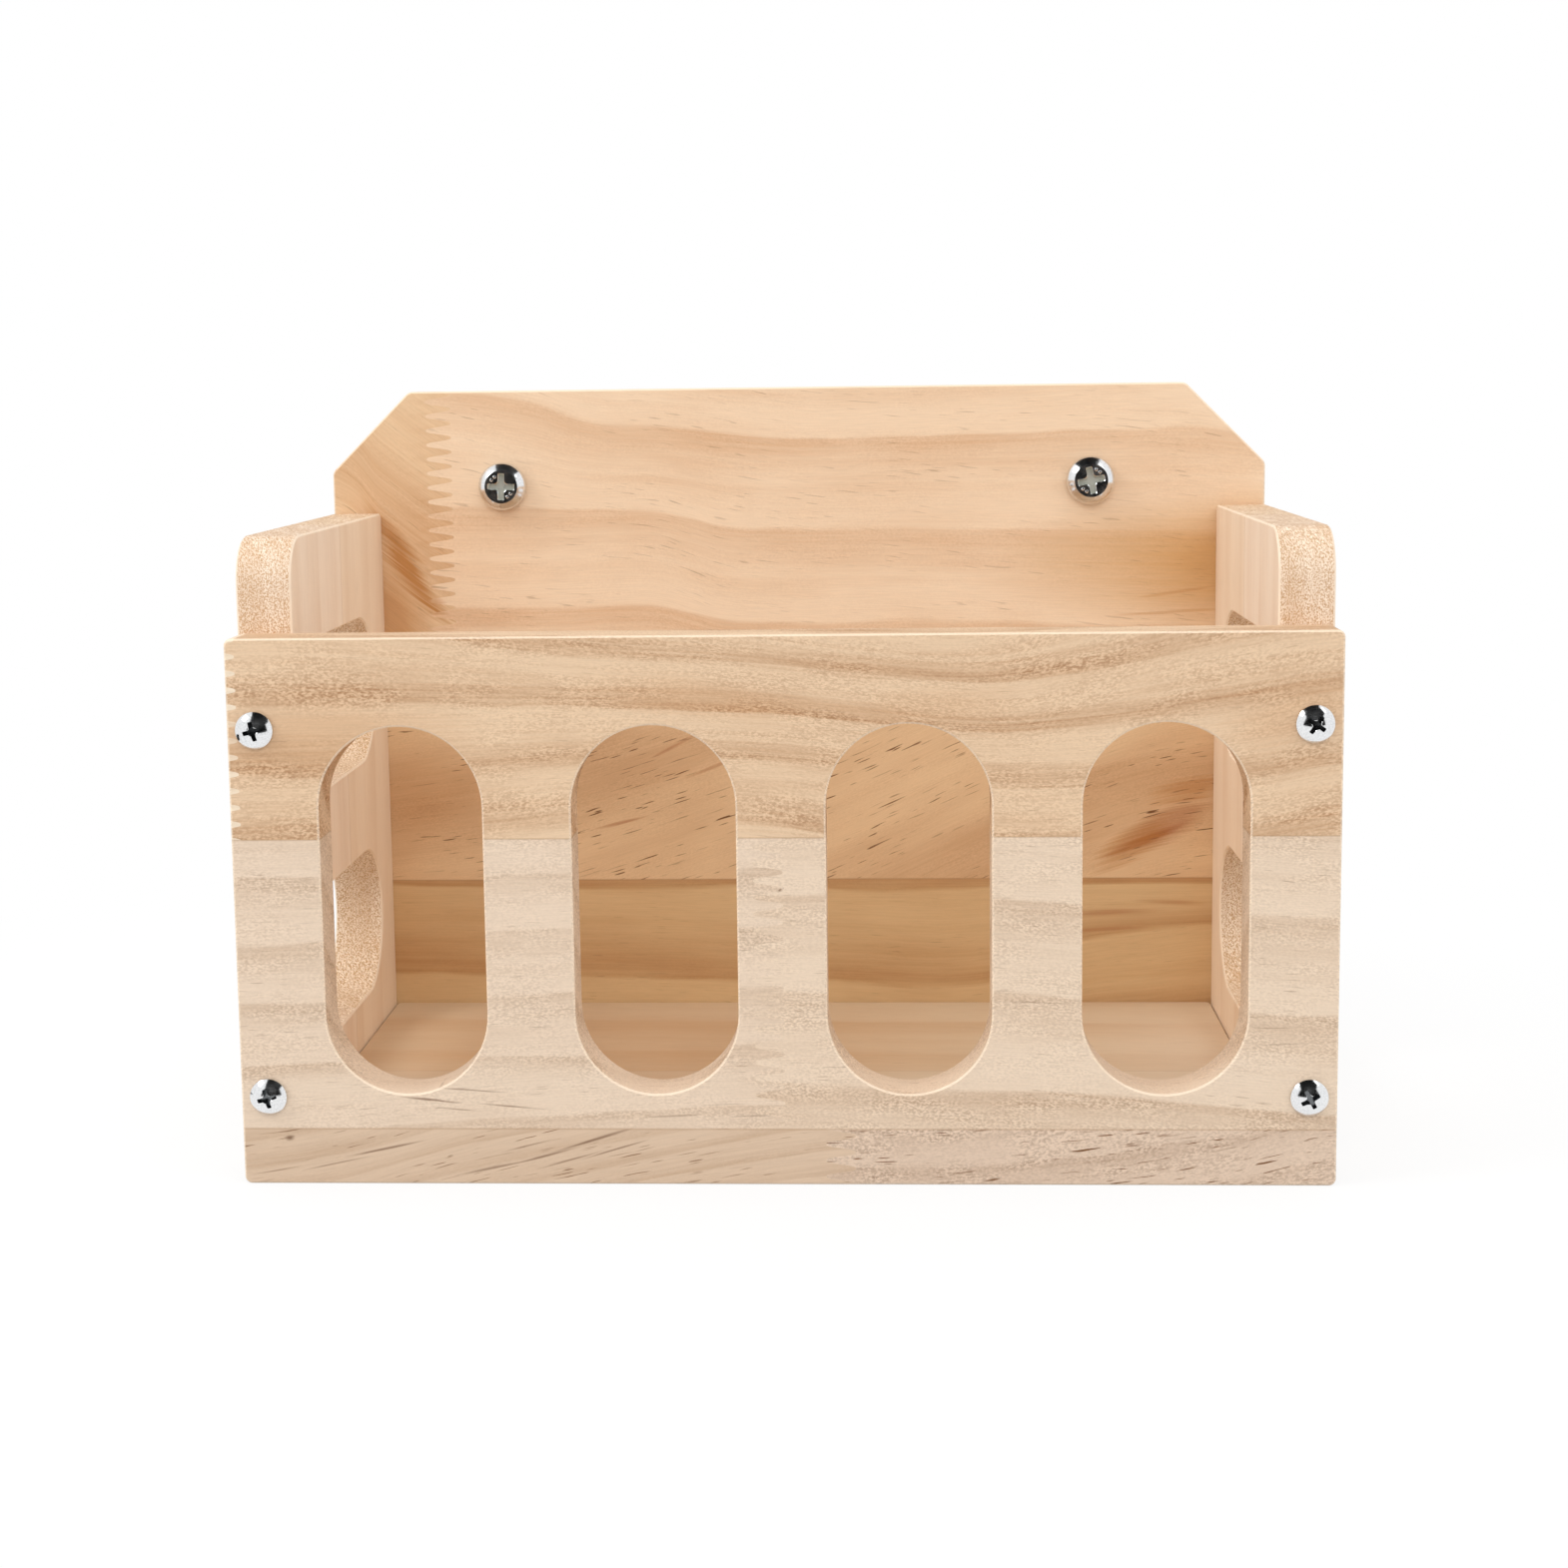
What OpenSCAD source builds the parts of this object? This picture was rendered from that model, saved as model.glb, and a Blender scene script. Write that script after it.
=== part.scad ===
// Hay feeder box: five pine boards screwed together, with open slots for the animals to pull hay
// through, and two bolts that clamp the box to a cage wall.
// Lengths are in millimetres. The origin is the centre of the underside, and the front faces -Y.

/* [Box] */
// Width over the front and back boards
box_w = 235; // [210:1:320]
// Depth over the front and back boards
box_d = 124; // [100:1:180]
// Thickness of every board
board_t = 12; // [9:0.5:16]
// Play between the floor board and the boards round it
floor_play = 0.3; // [0.1:0.1:0.6]
// Rounding of a board's plain corners
corner_r = 1.5; // [1.3:0.1:3]
// Sanded bevel along the boards' edges and the slots' rims
edge_bevel = 0.4; // [0.3:0.1:1]

/* [Front board] */
// Height of the front board
front_h = 119; // [100:1:135]
// Number of upright slots
front_slot_count = 4; // [2:1:4]
// Width of an upright slot
front_slot_w = 35; // [25:1:38]
// Wood left below the upright slots
front_slot_below = 20; // [16:1:30]
// Wood left above the upright slots
front_slot_above = 19; // [14:1:30]

/* [Side boards] */
// Height of the side boards
side_h = 139.5; // [134:0.5:150]
// Rounding of a side board's upper front corner
side_corner_r = 10; // [4:0.5:15]
// Height of a lying slot
side_slot_w = 35; // [20:1:38]
// Wood left at each end of a lying slot
side_slot_end = 14.5; // [14:0.5:25]
// Wood left below the lower lying slot
side_slot_below = 23; // [20:0.5:28]
// Wood between the two lying slots
side_slot_between = 22.5; // [16:0.5:26]

/* [Back board] */
// Height of the back board
back_h = 170; // [160:1:220]
// Height and width of the clipped upper corners
clip = 20; // [10:0.5:35]
// Rounding of the clipped corners' points
clip_r = 2.5; // [1.3:0.1:6]

/* [Wood screws] */
// Length of a wood screw below its head
screw_l = 25; // [20:1:27]
// Diameter of a wood screw's shank over its thread
screw_d = 4; // [3:0.5:5]
// Length of a wood screw's point
screw_point = 4; // [2:0.5:6]
// Diameter of a wood screw's head
screw_head_d = 8; // [7:0.1:10]
// Height of a wood screw's head
screw_head_h = 2.6; // [2.4:0.1:3.2]
// Height of the straight side below a wood screw's domed top
screw_head_side = 0.8; // [0.4:0.1:1.4]
// Width of a wood screw's cross recess
screw_recess_w = 4.2; // [3:0.1:5]
// Depth of a wood screw's cross recess
screw_recess_deep = 1.8; // [1:0.1:2]
// Distance from a board's lower or upper edge to its nearest screws
screw_inset = 19.5; // [12:0.5:21]
// Distance from the middle of the floor board's end to each of its screws
floor_screw_reach = 25; // [10:0.5:34]
// Room round a wood screw in its hole
screw_play = 0.05; // [0.02:0.01:0.1]

/* [Clamp hardware] */
// Distance between the two clamp bolts
bolt_spacing = 148; // [100:1:160]
// Distance from the back board's top down to the clamp bolts
bolt_drop = 24; // [18:0.5:26]
// Diameter of a clamp bolt
bolt_d = 6; // [5:0.5:7]
// Length of a clamp bolt below its head
bolt_l = 40; // [36:1:60]
// Diameter of a clamp bolt's head
bolt_head_d = 12; // [11:0.1:14]
// Height of a clamp bolt's head
bolt_head_h = 4.2; // [4:0.1:5]
// Height of the straight side below the wide bevel of a clamp bolt's head
bolt_head_side = 2.5; // [1:0.1:3]
// Diameter of the flat top of a clamp bolt's head
bolt_head_flat = 8.3; // [7.5:0.1:10]
// Width of a clamp bolt's cross recess
bolt_recess_w = 6.6; // [4:0.1:7]
// Depth of a clamp bolt's cross recess
bolt_recess_deep = 2.5; // [1.5:0.1:3]
// Bevel at a clamp bolt's end
bolt_point = 0.8; // [0.3:0.1:1.2]
// Room round a clamp bolt in the back board
bolt_play = 0.1; // [0.05:0.01:0.1]
// Diameter of a clamp washer
washer_d = 25; // [18:0.5:30]
// Thickness of a clamp washer
washer_t = 1.5; // [1:0.1:2.5]
// Room round a clamp bolt in its washer
washer_play = 0.2; // [0.1:0.05:0.4]
// Gap between the back board and a washer, and between a washer and its nut
seat_gap = 0.3; // [0.2:0.05:0.5]
// Diameter of a wing nut's hub where it meets the washer
hub_base_d = 13; // [11.5:0.1:15]
// Diameter of a wing nut's hub at its outer end
hub_top_d = 10; // [9:0.1:11]
// Height of a wing nut's hub
hub_h = 8; // [6:0.1:10]
// Room round the thread in a wing nut
nut_play = 0.05; // [0.02:0.01:0.1]
// Distance between the far edges of a wing nut's ears
wing_span = 32; // [28:0.5:40]
// Height of a wing nut's ears above its base
wing_h = 15.5; // [14:0.5:20]
// Diameter of a wing nut's ear
ear_d = 10.5; // [8:0.1:12]
// Thickness of a wing nut's ear
ear_t = 2.4; // [1.8:0.1:3]
// Rounding of an ear's rim
ear_round = 0.8; // [0.3:0.1:0.8]

/* [Hidden] */
$fn = 64;

// How far a cut runs past the surface that it opens
over = 0.2;
// Small bevel on the bolt heads' and washers' rims and at the mouths of the nuts' threads
trim = 0.3;
// How far a screw's hole runs past its point
pilot_past = 0.5;
// Radius of the flat at a wood screw's point
screw_tip_r = 0.2;
// How far a wing's root is sunk into the nut's hub
wing_root = 1;
// A cross recess's wing thickness, its width at its floor and the width of its middle's tip,
// as shares of its width at its mouth
recess_wing = 0.25;
recess_floor = 0.56;
recess_tip = 0.24;

left = -1;
right = 1;
front_y = -box_d / 2;
back_y = box_d / 2;
side_len = box_d - 2 * board_t;
inner_w = box_w - 2 * board_t;
floor_w = inner_w - 2 * floor_play;
floor_d = side_len - 2 * floor_play;

front_slot_h = front_h - front_slot_below - front_slot_above;
front_slot_gap = (box_w - front_slot_count * front_slot_w) / (front_slot_count + 1);
front_slot_pitch = front_slot_w + front_slot_gap;
front_slot_z = front_slot_below + front_slot_h / 2;
side_slot_l = side_len - 2 * side_slot_end;
side_slot_z = [
    side_slot_below + side_slot_w / 2,
    side_slot_below + side_slot_w * 3 / 2 + side_slot_between
];

screw_x = box_w / 2 - board_t / 2;
front_screw_z = [screw_inset, front_h - screw_inset];
back_screw_z = [screw_inset, side_h - screw_inset];
bolt_z = back_h - bolt_drop;
washer_y = board_t + seat_gap;
nut_y = washer_y + washer_t + seat_gap;

pine = "#e8c9a0";
pine_warm = "#dfb98c";
zinc = "#c3c7cb";

// Angles that the screwdriver left the screws and bolts at
front_turns = [75, 75, 62, 35];
hidden_turns = [70, 20, 48, 5];
bolt_turns = [2, 79];
// Angles that the wings were left at
wing_turns = [28, -35];

// Outlines with rounded corners. Each corner is [x, y, rounding], listed anticlockwise.

function unit(v) = v / norm(v);
function place(c) = [c.x, c.y];
function towards(cs, i, step) = unit(place(cs[(i + step + len(cs)) % len(cs)]) - place(cs[i]));
function half_angle(cs, i) = acos(towards(cs, i, -1) * towards(cs, i, 1)) / 2;
function tangent(cs, i, step) = place(cs[i]) + towards(cs, i, step) * cs[i].z / tan(half_angle(cs, i));
function arc_centre(cs, i) =
    place(cs[i]) + unit(towards(cs, i, -1) + towards(cs, i, 1)) * cs[i].z / sin(half_angle(cs, i));
function heading(from, to) = atan2(to.y - from.y, to.x - from.x);

module rounded_outline(cs) {
    polygon([for (i = [0 : len(cs) - 1], step = [-1, 1]) tangent(cs, i, step)]);
    for (i = [0 : len(cs) - 1])
        translate(arc_centre(cs, i)) circle(cs[i].z);
}

// The wood that a bevel takes off the upper face's edges: a straight wedge along each side
// and a turned wedge round each corner
module outline_bevel(cs) {
    deep = edge_bevel + over;
    for (i = [0 : len(cs) - 1]) {
        from = tangent(cs, i, 1);
        to = tangent(cs, (i + 1) % len(cs), -1);
        translate(from) rotate(heading(from, to)) rotate([90, 0, 90])
            linear_extrude(norm(to - from)) polygon([[deep, over], [-over, -deep], [-over, over]]);
        r = cs[i].z;
        start = heading(arc_centre(cs, i), tangent(cs, i, -1));
        translate(arc_centre(cs, i)) rotate(start)
            rotate_extrude(angle = 180 - 2 * half_angle(cs, i))
                polygon([[r - deep, over], [r + over, -deep], [r + over, over]]);
    }
}

// Puts a shape that lies on an upper face on both faces of a board
module both_faces() {
    translate([0, 0, board_t]) children();
    mirror([0, 0, 1]) children();
}

module eased_board(cs) {
    difference() {
        linear_extrude(board_t) rounded_outline(cs);
        both_faces() outline_bevel(cs);
    }
}

function rectangle(w, h, rs) = [
    [-w / 2, 0, rs[0]], [w / 2, 0, rs[1]], [w / 2, h, rs[2]], [-w / 2, h, rs[3]]
];

// Round-ended slots, lying along X

module stadium(l, w) {
    square([l - w, w], center = true);
    for (end = [-1, 1])
        translate([end * (l - w) / 2, 0]) circle(w / 2);
}

module slot_cut(l, w) {
    r = w / 2;
    deep = edge_bevel + over;
    lip = [r + deep, over];
    toe = [r - over, -deep];
    translate([0, 0, -over]) linear_extrude(board_t + 2 * over) stadium(l, w);
    both_faces() {
        for (end = [0, 180])
            rotate(end) translate([(l - w) / 2, 0, 0]) rotate(-90)
                rotate_extrude(angle = 180) polygon([[0, toe.y], toe, lip, [0, lip.y]]);
        rotate([90, 0, 90]) linear_extrude(l - w, center = true)
            polygon([toe, lip, [-lip.x, lip.y], [-toe.x, toe.y]]);
    }
}

// Where the boards stand

module front_place() {
    translate([0, front_y + board_t, 0]) rotate([90, 0, 0]) children();
}

module back_place() {
    translate([0, back_y, 0]) rotate([90, 0, 0]) children();
}

module side_place(side) {
    translate([side * (box_w - board_t) / 2 - board_t / 2, 0, 0]) rotate([90, 0, 90]) children();
}

// Where the screws and bolts go: each with its head's underside at the origin and its point up +Z

module at_front_screws() {
    for (side = [left, right], i = [0, 1])
        translate([side * screw_x, front_y, front_screw_z[i]])
            rotate([-90, 0, 0]) rotate(front_turns[i + side + 1]) children();
}

module at_back_screws() {
    for (side = [left, right], i = [0, 1])
        translate([side * screw_x, back_y, back_screw_z[i]])
            rotate([90, 0, 0]) rotate(hidden_turns[i + side + 1]) children();
}

module at_floor_screws() {
    for (side = [left, right], i = [-1, 1])
        translate([side * box_w / 2, i * floor_screw_reach, board_t / 2])
            rotate([0, -90 * side, 0]) rotate(hidden_turns[1 + side + (i + 1) / 2]) children();
}

module at_bolt(side) {
    translate([side * bolt_spacing / 2, back_y - board_t, bolt_z]) rotate([-90, 0, 0]) children();
}

// Boards

module screw_hole() {
    translate([0, 0, -over])
        cylinder(h = screw_l + pilot_past + over, d = screw_d + 2 * screw_play);
}

module front_board() {
    color(pine) difference() {
        front_place() eased_board(rectangle(box_w, front_h, [corner_r, corner_r, corner_r, corner_r]));
        for (i = [0 : front_slot_count - 1])
            translate([(i - (front_slot_count - 1) / 2) * front_slot_pitch, 0, front_slot_z])
                front_place() rotate(90) slot_cut(front_slot_h, front_slot_w);
        at_front_screws() screw_hole();
    }
}

module back_board() {
    corners = [
        [-box_w / 2, 0, corner_r], [box_w / 2, 0, corner_r],
        [box_w / 2, back_h - clip, clip_r], [box_w / 2 - clip, back_h, clip_r],
        [clip - box_w / 2, back_h, clip_r], [-box_w / 2, back_h - clip, clip_r]
    ];
    color(pine_warm) difference() {
        back_place() eased_board(corners);
        at_back_screws() screw_hole();
        for (side = [left, right])
            at_bolt(side) translate([0, 0, -over])
                cylinder(h = board_t + 2 * over, d = bolt_d + 2 * bolt_play);
    }
}

module side_board(side) {
    color(pine) difference() {
        side_place(side)
            eased_board(rectangle(side_len, side_h, [corner_r, corner_r, corner_r, side_corner_r]));
        for (z = side_slot_z)
            translate([0, 0, z]) side_place(side) slot_cut(side_slot_l, side_slot_w);
        at_front_screws() screw_hole();
        at_back_screws() screw_hole();
        at_floor_screws() screw_hole();
    }
}

module floor_board() {
    color(pine_warm) difference() {
        translate([0, -floor_d / 2, 0])
            eased_board(rectangle(floor_w, floor_d, [corner_r, corner_r, corner_r, corner_r]));
        at_floor_screws() screw_hole();
    }
}

// Screws, bolts, washers and wing nuts

// A head with a low straight side and a domed top
module domed_head(d, h, side_h) {
    rise = h - side_h;
    dome_r = (d * d / 4 + rise * rise) / (2 * rise);
    mirror([0, 0, 1]) rotate_extrude() intersection() {
        square([d / 2, h]);
        translate([0, h - dome_r]) circle(dome_r);
    }
}

// A head with a straight side, a wide bevel and a flat top
module bevelled_head(d, h, side_h, flat_d) {
    mirror([0, 0, 1]) rotate_extrude()
        polygon([
            [0, 0], [d / 2 - trim, 0], [d / 2, trim], [d / 2, side_h], [flat_d / 2, h], [0, h]
        ]);
}

// A cross recess whose mouth is at z = 0 and whose floor is at z = deep
module cross_recess(w, deep) {
    mouth = w / 2;
    bottom = mouth * recess_floor;
    for (turn = [0, 90])
        rotate([90, 0, turn]) linear_extrude(w * recess_wing, center = true)
            polygon([[-mouth, -over], [mouth, -over], [bottom, deep], [-bottom, deep]]);
    translate([0, 0, -over])
        cylinder(h = deep + 2 * over, d1 = w * recess_floor, d2 = w * recess_tip);
}

// A shank with its top sunk a little into the head, a straight side down to the shoulder
// and a taper to its end
module shank(r, shoulder, end_r, l) {
    rotate_extrude() polygon([[0, -over], [r, -over], [r, shoulder], [end_r, l], [0, l]]);
}

module wood_screw() {
    difference() {
        union() {
            domed_head(screw_head_d, screw_head_h, screw_head_side);
            shank(screw_d / 2, screw_l - screw_point, screw_tip_r, screw_l);
        }
        translate([0, 0, -screw_head_h]) cross_recess(screw_recess_w, screw_recess_deep);
    }
}

module mounting_bolt(side) {
    color(zinc) at_bolt(side) rotate(bolt_turns[(side + 1) / 2]) difference() {
        union() {
            bevelled_head(bolt_head_d, bolt_head_h, bolt_head_side, bolt_head_flat);
            shank(bolt_d / 2, bolt_l - bolt_point, bolt_d / 2 - bolt_point, bolt_l);
        }
        translate([0, 0, -bolt_head_h]) cross_recess(bolt_recess_w, bolt_recess_deep);
    }
}

module clamp_washer(side) {
    hole_r = bolt_d / 2 + washer_play;
    rim_r = washer_d / 2;
    color(zinc) at_bolt(side) translate([0, 0, washer_y]) rotate_extrude()
        polygon([
            [hole_r, 0], [rim_r - trim, 0], [rim_r, trim],
            [rim_r, washer_t - trim], [rim_r - trim, washer_t], [hole_r, washer_t]
        ]);
}

// Where a line from the point p touches a circle: side is 1 for its left and -1 for its right
function touch(p, centre, r, side) =
    let (d = norm(centre - p), turn = heading(p, centre) + side * asin(r / d))
    p + sqrt(d * d - r * r) * [cos(turn), sin(turn)];

module wing() {
    centre = [(wing_span - ear_d) / 2, wing_h - ear_d / 2];
    r = ear_d / 2 - ear_round / 2;
    low = [hub_base_d / 2 - wing_root, trim];
    high = [hub_top_d / 2 - wing_root, hub_h - trim];
    rotate([90, 0, 0]) {
        linear_extrude(ear_t - trim, center = true)
            polygon([
                [high.x, low.y], low,
                touch(low, centre, r, -1), touch(high, centre, r, 1), high
            ]);
        translate(centre) rotate_extrude() {
            square([ear_d / 2 - ear_round, ear_t / 2]);
            mirror([0, 1]) square([ear_d / 2 - ear_round, ear_t / 2]);
            for (face = [-1, 1])
                translate([ear_d / 2 - ear_round, face * (ear_t / 2 - ear_round)]) circle(ear_round);
            translate([0, ear_round - ear_t / 2]) square([ear_d / 2, ear_t - 2 * ear_round]);
        }
    }
}

module wing_nut(side) {
    hub_r = hub_base_d / 2;
    thread_r = bolt_d / 2 + nut_play;
    color(zinc) at_bolt(side) translate([0, 0, nut_y]) rotate(wing_turns[(side + 1) / 2]) difference() {
        union() {
            rotate_extrude()
                polygon([
                    [0, 0], [hub_r - trim, 0], [hub_r, trim],
                    [hub_top_d / 2, hub_h - trim], [hub_top_d / 2 - trim, hub_h], [0, hub_h]
                ]);
            for (turn = [0, 180])
                rotate(turn) wing();
        }
        translate([0, 0, -over]) cylinder(h = hub_h + 2 * over, r = thread_r);
        for (end = [0, 1])
            translate([0, 0, end * hub_h]) mirror([0, 0, end]) translate([0, 0, -over])
                cylinder(h = trim + over, r1 = thread_r + trim + over, r2 = thread_r);
    }
}

front_board();
back_board();
side_board(left);  // left_side_board
side_board(right);  // right_side_board
floor_board();
color(zinc) at_front_screws() wood_screw();  // front_screws
color(zinc) at_back_screws() wood_screw();  // back_screws
color(zinc) at_floor_screws() wood_screw();  // floor_screws
mounting_bolt(left);  // left_mounting_bolt
mounting_bolt(right);  // right_mounting_bolt
clamp_washer(left);  // left_clamp_washer
clamp_washer(right);  // right_clamp_washer
wing_nut(left);  // left_wing_nut
wing_nut(right);  // right_wing_nut
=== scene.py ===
import math
from dataclasses import dataclass
from functools import partial
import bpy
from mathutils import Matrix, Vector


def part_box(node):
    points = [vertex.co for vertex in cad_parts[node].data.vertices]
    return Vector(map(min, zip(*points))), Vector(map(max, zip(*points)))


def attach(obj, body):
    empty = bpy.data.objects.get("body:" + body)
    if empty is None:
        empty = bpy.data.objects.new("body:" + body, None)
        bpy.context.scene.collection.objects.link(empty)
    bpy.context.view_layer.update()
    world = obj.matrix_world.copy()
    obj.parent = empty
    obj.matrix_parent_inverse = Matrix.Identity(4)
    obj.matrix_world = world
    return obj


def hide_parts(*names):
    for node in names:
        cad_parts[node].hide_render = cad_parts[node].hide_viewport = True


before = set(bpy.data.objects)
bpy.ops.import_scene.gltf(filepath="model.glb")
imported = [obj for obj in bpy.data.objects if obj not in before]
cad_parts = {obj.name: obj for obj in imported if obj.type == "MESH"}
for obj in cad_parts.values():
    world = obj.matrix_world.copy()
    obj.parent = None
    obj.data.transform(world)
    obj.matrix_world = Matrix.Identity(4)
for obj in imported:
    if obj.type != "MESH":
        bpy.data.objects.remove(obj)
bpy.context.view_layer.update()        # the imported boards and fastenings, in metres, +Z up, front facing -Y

from types import SimpleNamespace

import bmesh
import bpy
from bpy.props import FloatProperty, FloatVectorProperty, PointerProperty
from mathutils import Matrix, Vector

bl_info = {
    "name": "Hay feeder box",
    "version": (1, 0, 0),
    "blender": (4, 5, 0),
    "location": "3D View > Sidebar > Hay feeder",
    "description": "Dresses the packed hay feeder box in sanded pine and zinc plated fastenings",
    "category": "Object",
}

MM = 0.001


# Sizes and colours

def linear(colour):
    """An sRGB hex colour as linear red, green, blue and alpha."""
    parts = [int(colour[i:i + 2], 16) / 255 for i in (1, 3, 5)]
    return [p / 12.92 if p <= 0.04045 else ((p + 0.055) / 1.055) ** 2.4 for p in parts] + [1.0]


def size_of(node):
    """Width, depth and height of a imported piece, in metres."""
    low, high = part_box(node)
    return high - low


class PineFinish(bpy.types.PropertyGroup):
    """How the boards' pine is joined and sanded"""
    finger_pitch: FloatProperty(
        name="Finger pitch", description="Distance between the fingers of a finger joint",
        default=0.0036, min=0.002, max=0.008, unit="LENGTH")
    finger_length: FloatProperty(
        name="Finger length", description="Length of the fingers of a finger joint",
        default=0.0063, min=0.003, max=0.012, unit="LENGTH")
    glue_line: FloatProperty(
        name="Glue line", description="Half width of the line of glue between two staves",
        default=0.00018, min=0.00005, max=0.0005, unit="LENGTH")
    glue_colour: FloatVectorProperty(
        name="Glue colour", description="Colour of the glue lines between staves",
        default=linear("#A98460"), size=4, min=0, max=1, subtype="COLOR")
    joint_colour: FloatVectorProperty(
        name="Joint colour", description="Colour of the pressed outlines of the fingers",
        default=linear("#F7E3C8"), size=4, min=0, max=1, subtype="COLOR")
    resin_colour: FloatVectorProperty(
        name="Resin colour", description="Colour of the short resin ducts",
        default=linear("#7E5838"), size=4, min=0, max=1, subtype="COLOR")
    roughness: FloatProperty(
        name="Roughness", description="Roughness of the sanded wood",
        default=0.62, min=0, max=1, subtype="FACTOR")


class ScrewSizes(bpy.types.PropertyGroup):
    """The wood screws through the boards"""
    head: FloatProperty(
        name="Head", description="Diameter of a wood screw's head",
        default=0.008, min=0.006, max=0.01, unit="LENGTH")
    head_height: FloatProperty(
        name="Head height", description="Height of a wood screw's head",
        default=0.00258, min=0.0015, max=0.0035, unit="LENGTH")
    head_side: FloatProperty(
        name="Head side", description="Height of the straight side of a wood screw's head",
        default=0.0008, min=0.0004, max=0.0014, unit="LENGTH")
    recess: FloatProperty(
        name="Recess", description="Width of the cross recess at its mouth",
        default=0.0043, min=0.003, max=0.006, unit="LENGTH")
    recess_depth: FloatProperty(
        name="Recess depth", description="Depth of the cross recess",
        default=0.0019, min=0.001, max=0.0022, unit="LENGTH")


class ClampSizes(bpy.types.PropertyGroup):
    """The bolts, washers and wing nuts of the cage clamp"""
    head: FloatProperty(
        name="Head", description="Diameter of a clamp bolt's head",
        default=size_of("left_mounting_bolt").x, min=0.01, max=0.015, unit="LENGTH")
    head_height: FloatProperty(
        name="Head height", description="Height of a clamp bolt's head",
        default=0.0042, min=0.003, max=0.006, unit="LENGTH")
    head_side: FloatProperty(
        name="Head side", description="Height of the straight side of a clamp bolt's head",
        default=0.0025, min=0.001, max=0.003, unit="LENGTH")
    head_flat: FloatProperty(
        name="Head flat", description="Diameter of the flat top of a clamp bolt's head",
        default=0.0083, min=0.006, max=0.011, unit="LENGTH")
    recess: FloatProperty(
        name="Recess", description="Width of the cross recess at its mouth",
        default=0.0066, min=0.004, max=0.008, unit="LENGTH")
    recess_depth: FloatProperty(
        name="Recess depth", description="Depth of the cross recess",
        default=0.0013, min=0.001, max=0.003, unit="LENGTH")
    thread: FloatProperty(
        name="Thread", description="Diameter of the bolt over its thread",
        default=0.006, min=0.005, max=0.008, unit="LENGTH")
    pitch: FloatProperty(
        name="Pitch", description="Pitch of the bolt's and the wing nut's thread",
        default=0.001, min=0.0005, max=0.0015, unit="LENGTH")
    washer: FloatProperty(
        name="Washer", description="Diameter of a clamp washer",
        default=size_of("left_clamp_washer").x, min=0.015, max=0.03, unit="LENGTH")
    wing_span: FloatProperty(
        name="Wing span", description="Distance between the far edges of a wing nut's ears",
        default=0.032, min=0.025, max=0.04, unit="LENGTH")
    cast_step: FloatProperty(
        name="Cast detail", description="Size of the steps that a wing nut's form is cast in",
        default=0.00026, min=0.0002, max=0.001, unit="LENGTH")


class StudioSetup(bpy.types.PropertyGroup):
    """Floor, lamps and camera"""
    left: FloatProperty(
        name="Left lamp", description="Power of the soft lamp at the upper left",
        default=4.8, min=0, max=200, unit="POWER")
    right: FloatProperty(
        name="Right lamp", description="Power of the soft lamp at the upper right",
        default=1.4, min=0, max=200, unit="POWER")
    front: FloatProperty(
        name="Front lamp", description="Power of the soft lamp in front",
        default=3.9, min=0, max=200, unit="POWER")
    ambient: FloatProperty(
        name="Ambient", description="Strength of the light that the white room gives",
        default=0.84, min=0, max=2)
    lens: FloatProperty(
        name="Lens", description="Focal length on a 36 mm wide sensor",
        default=57.22, min=20, max=200, unit="CAMERA")
    floor_radius: FloatProperty(
        name="Floor", description="Half width of the floor",
        default=4.0, min=1, max=20, unit="LENGTH")


# Node trees

# Signs for the commonest kinds of node, *+ being a product and a sum in one
SIGNS = {"+": "Math.ADD", "-": "Math.SUBTRACT", "*": "Math.MULTIPLY", "/": "Math.DIVIDE",
         "*+": "Math.MULTIPLY_ADD"}
# Where the first of a Mix node's two mixed inputs lies, for each type of data
MIX_INPUTS = {"FLOAT": 2, "VECTOR": 4, "RGBA": 6}


def add(tree, kind, *values, **settings):
    """Adds one shader node with its settings; fills its inputs in order or, from a dict, by key.

    The kind is a sign, or ends in the node's operation or type of data where it has one, as in
    Math.FLOOR and Mix.RGBA. A node among the values stands for its first enabled output.
    """
    kind, _, choice = SIGNS.get(kind, kind).partition(".")
    node = tree.nodes.new("ShaderNode" + kind)
    if choice:
        setattr(node, "data_type" if kind == "Mix" else "operation", choice)
    for name, value in settings.items():
        setattr(node, name, value)
    filled = {}
    for key, value in enumerate(values):
        if kind == "Mix" and key > 0:
            key += MIX_INPUTS[choice] - 1
        filled.update(value if isinstance(value, dict) else {key: value})
    for key, value in filled.items():
        if isinstance(value, bpy.types.Node):
            value = next(o for o in value.outputs if o.enabled)
        if isinstance(value, bpy.types.NodeSocket):
            tree.links.new(value, node.inputs[key])
        else:
            node.inputs[key].default_value = value
    return node


def empty_tree(owner):
    """Empties the nodes of a material or world and gives the function that adds nodes to them."""
    owner.use_nodes = True
    owner.node_tree.nodes.clear()
    return partial(add, owner.node_tree)


def new_material(name):
    """An empty material and the function that adds nodes to it."""
    material = bpy.data.materials.new(name)
    return material, empty_tree(material)


# Pine

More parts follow.
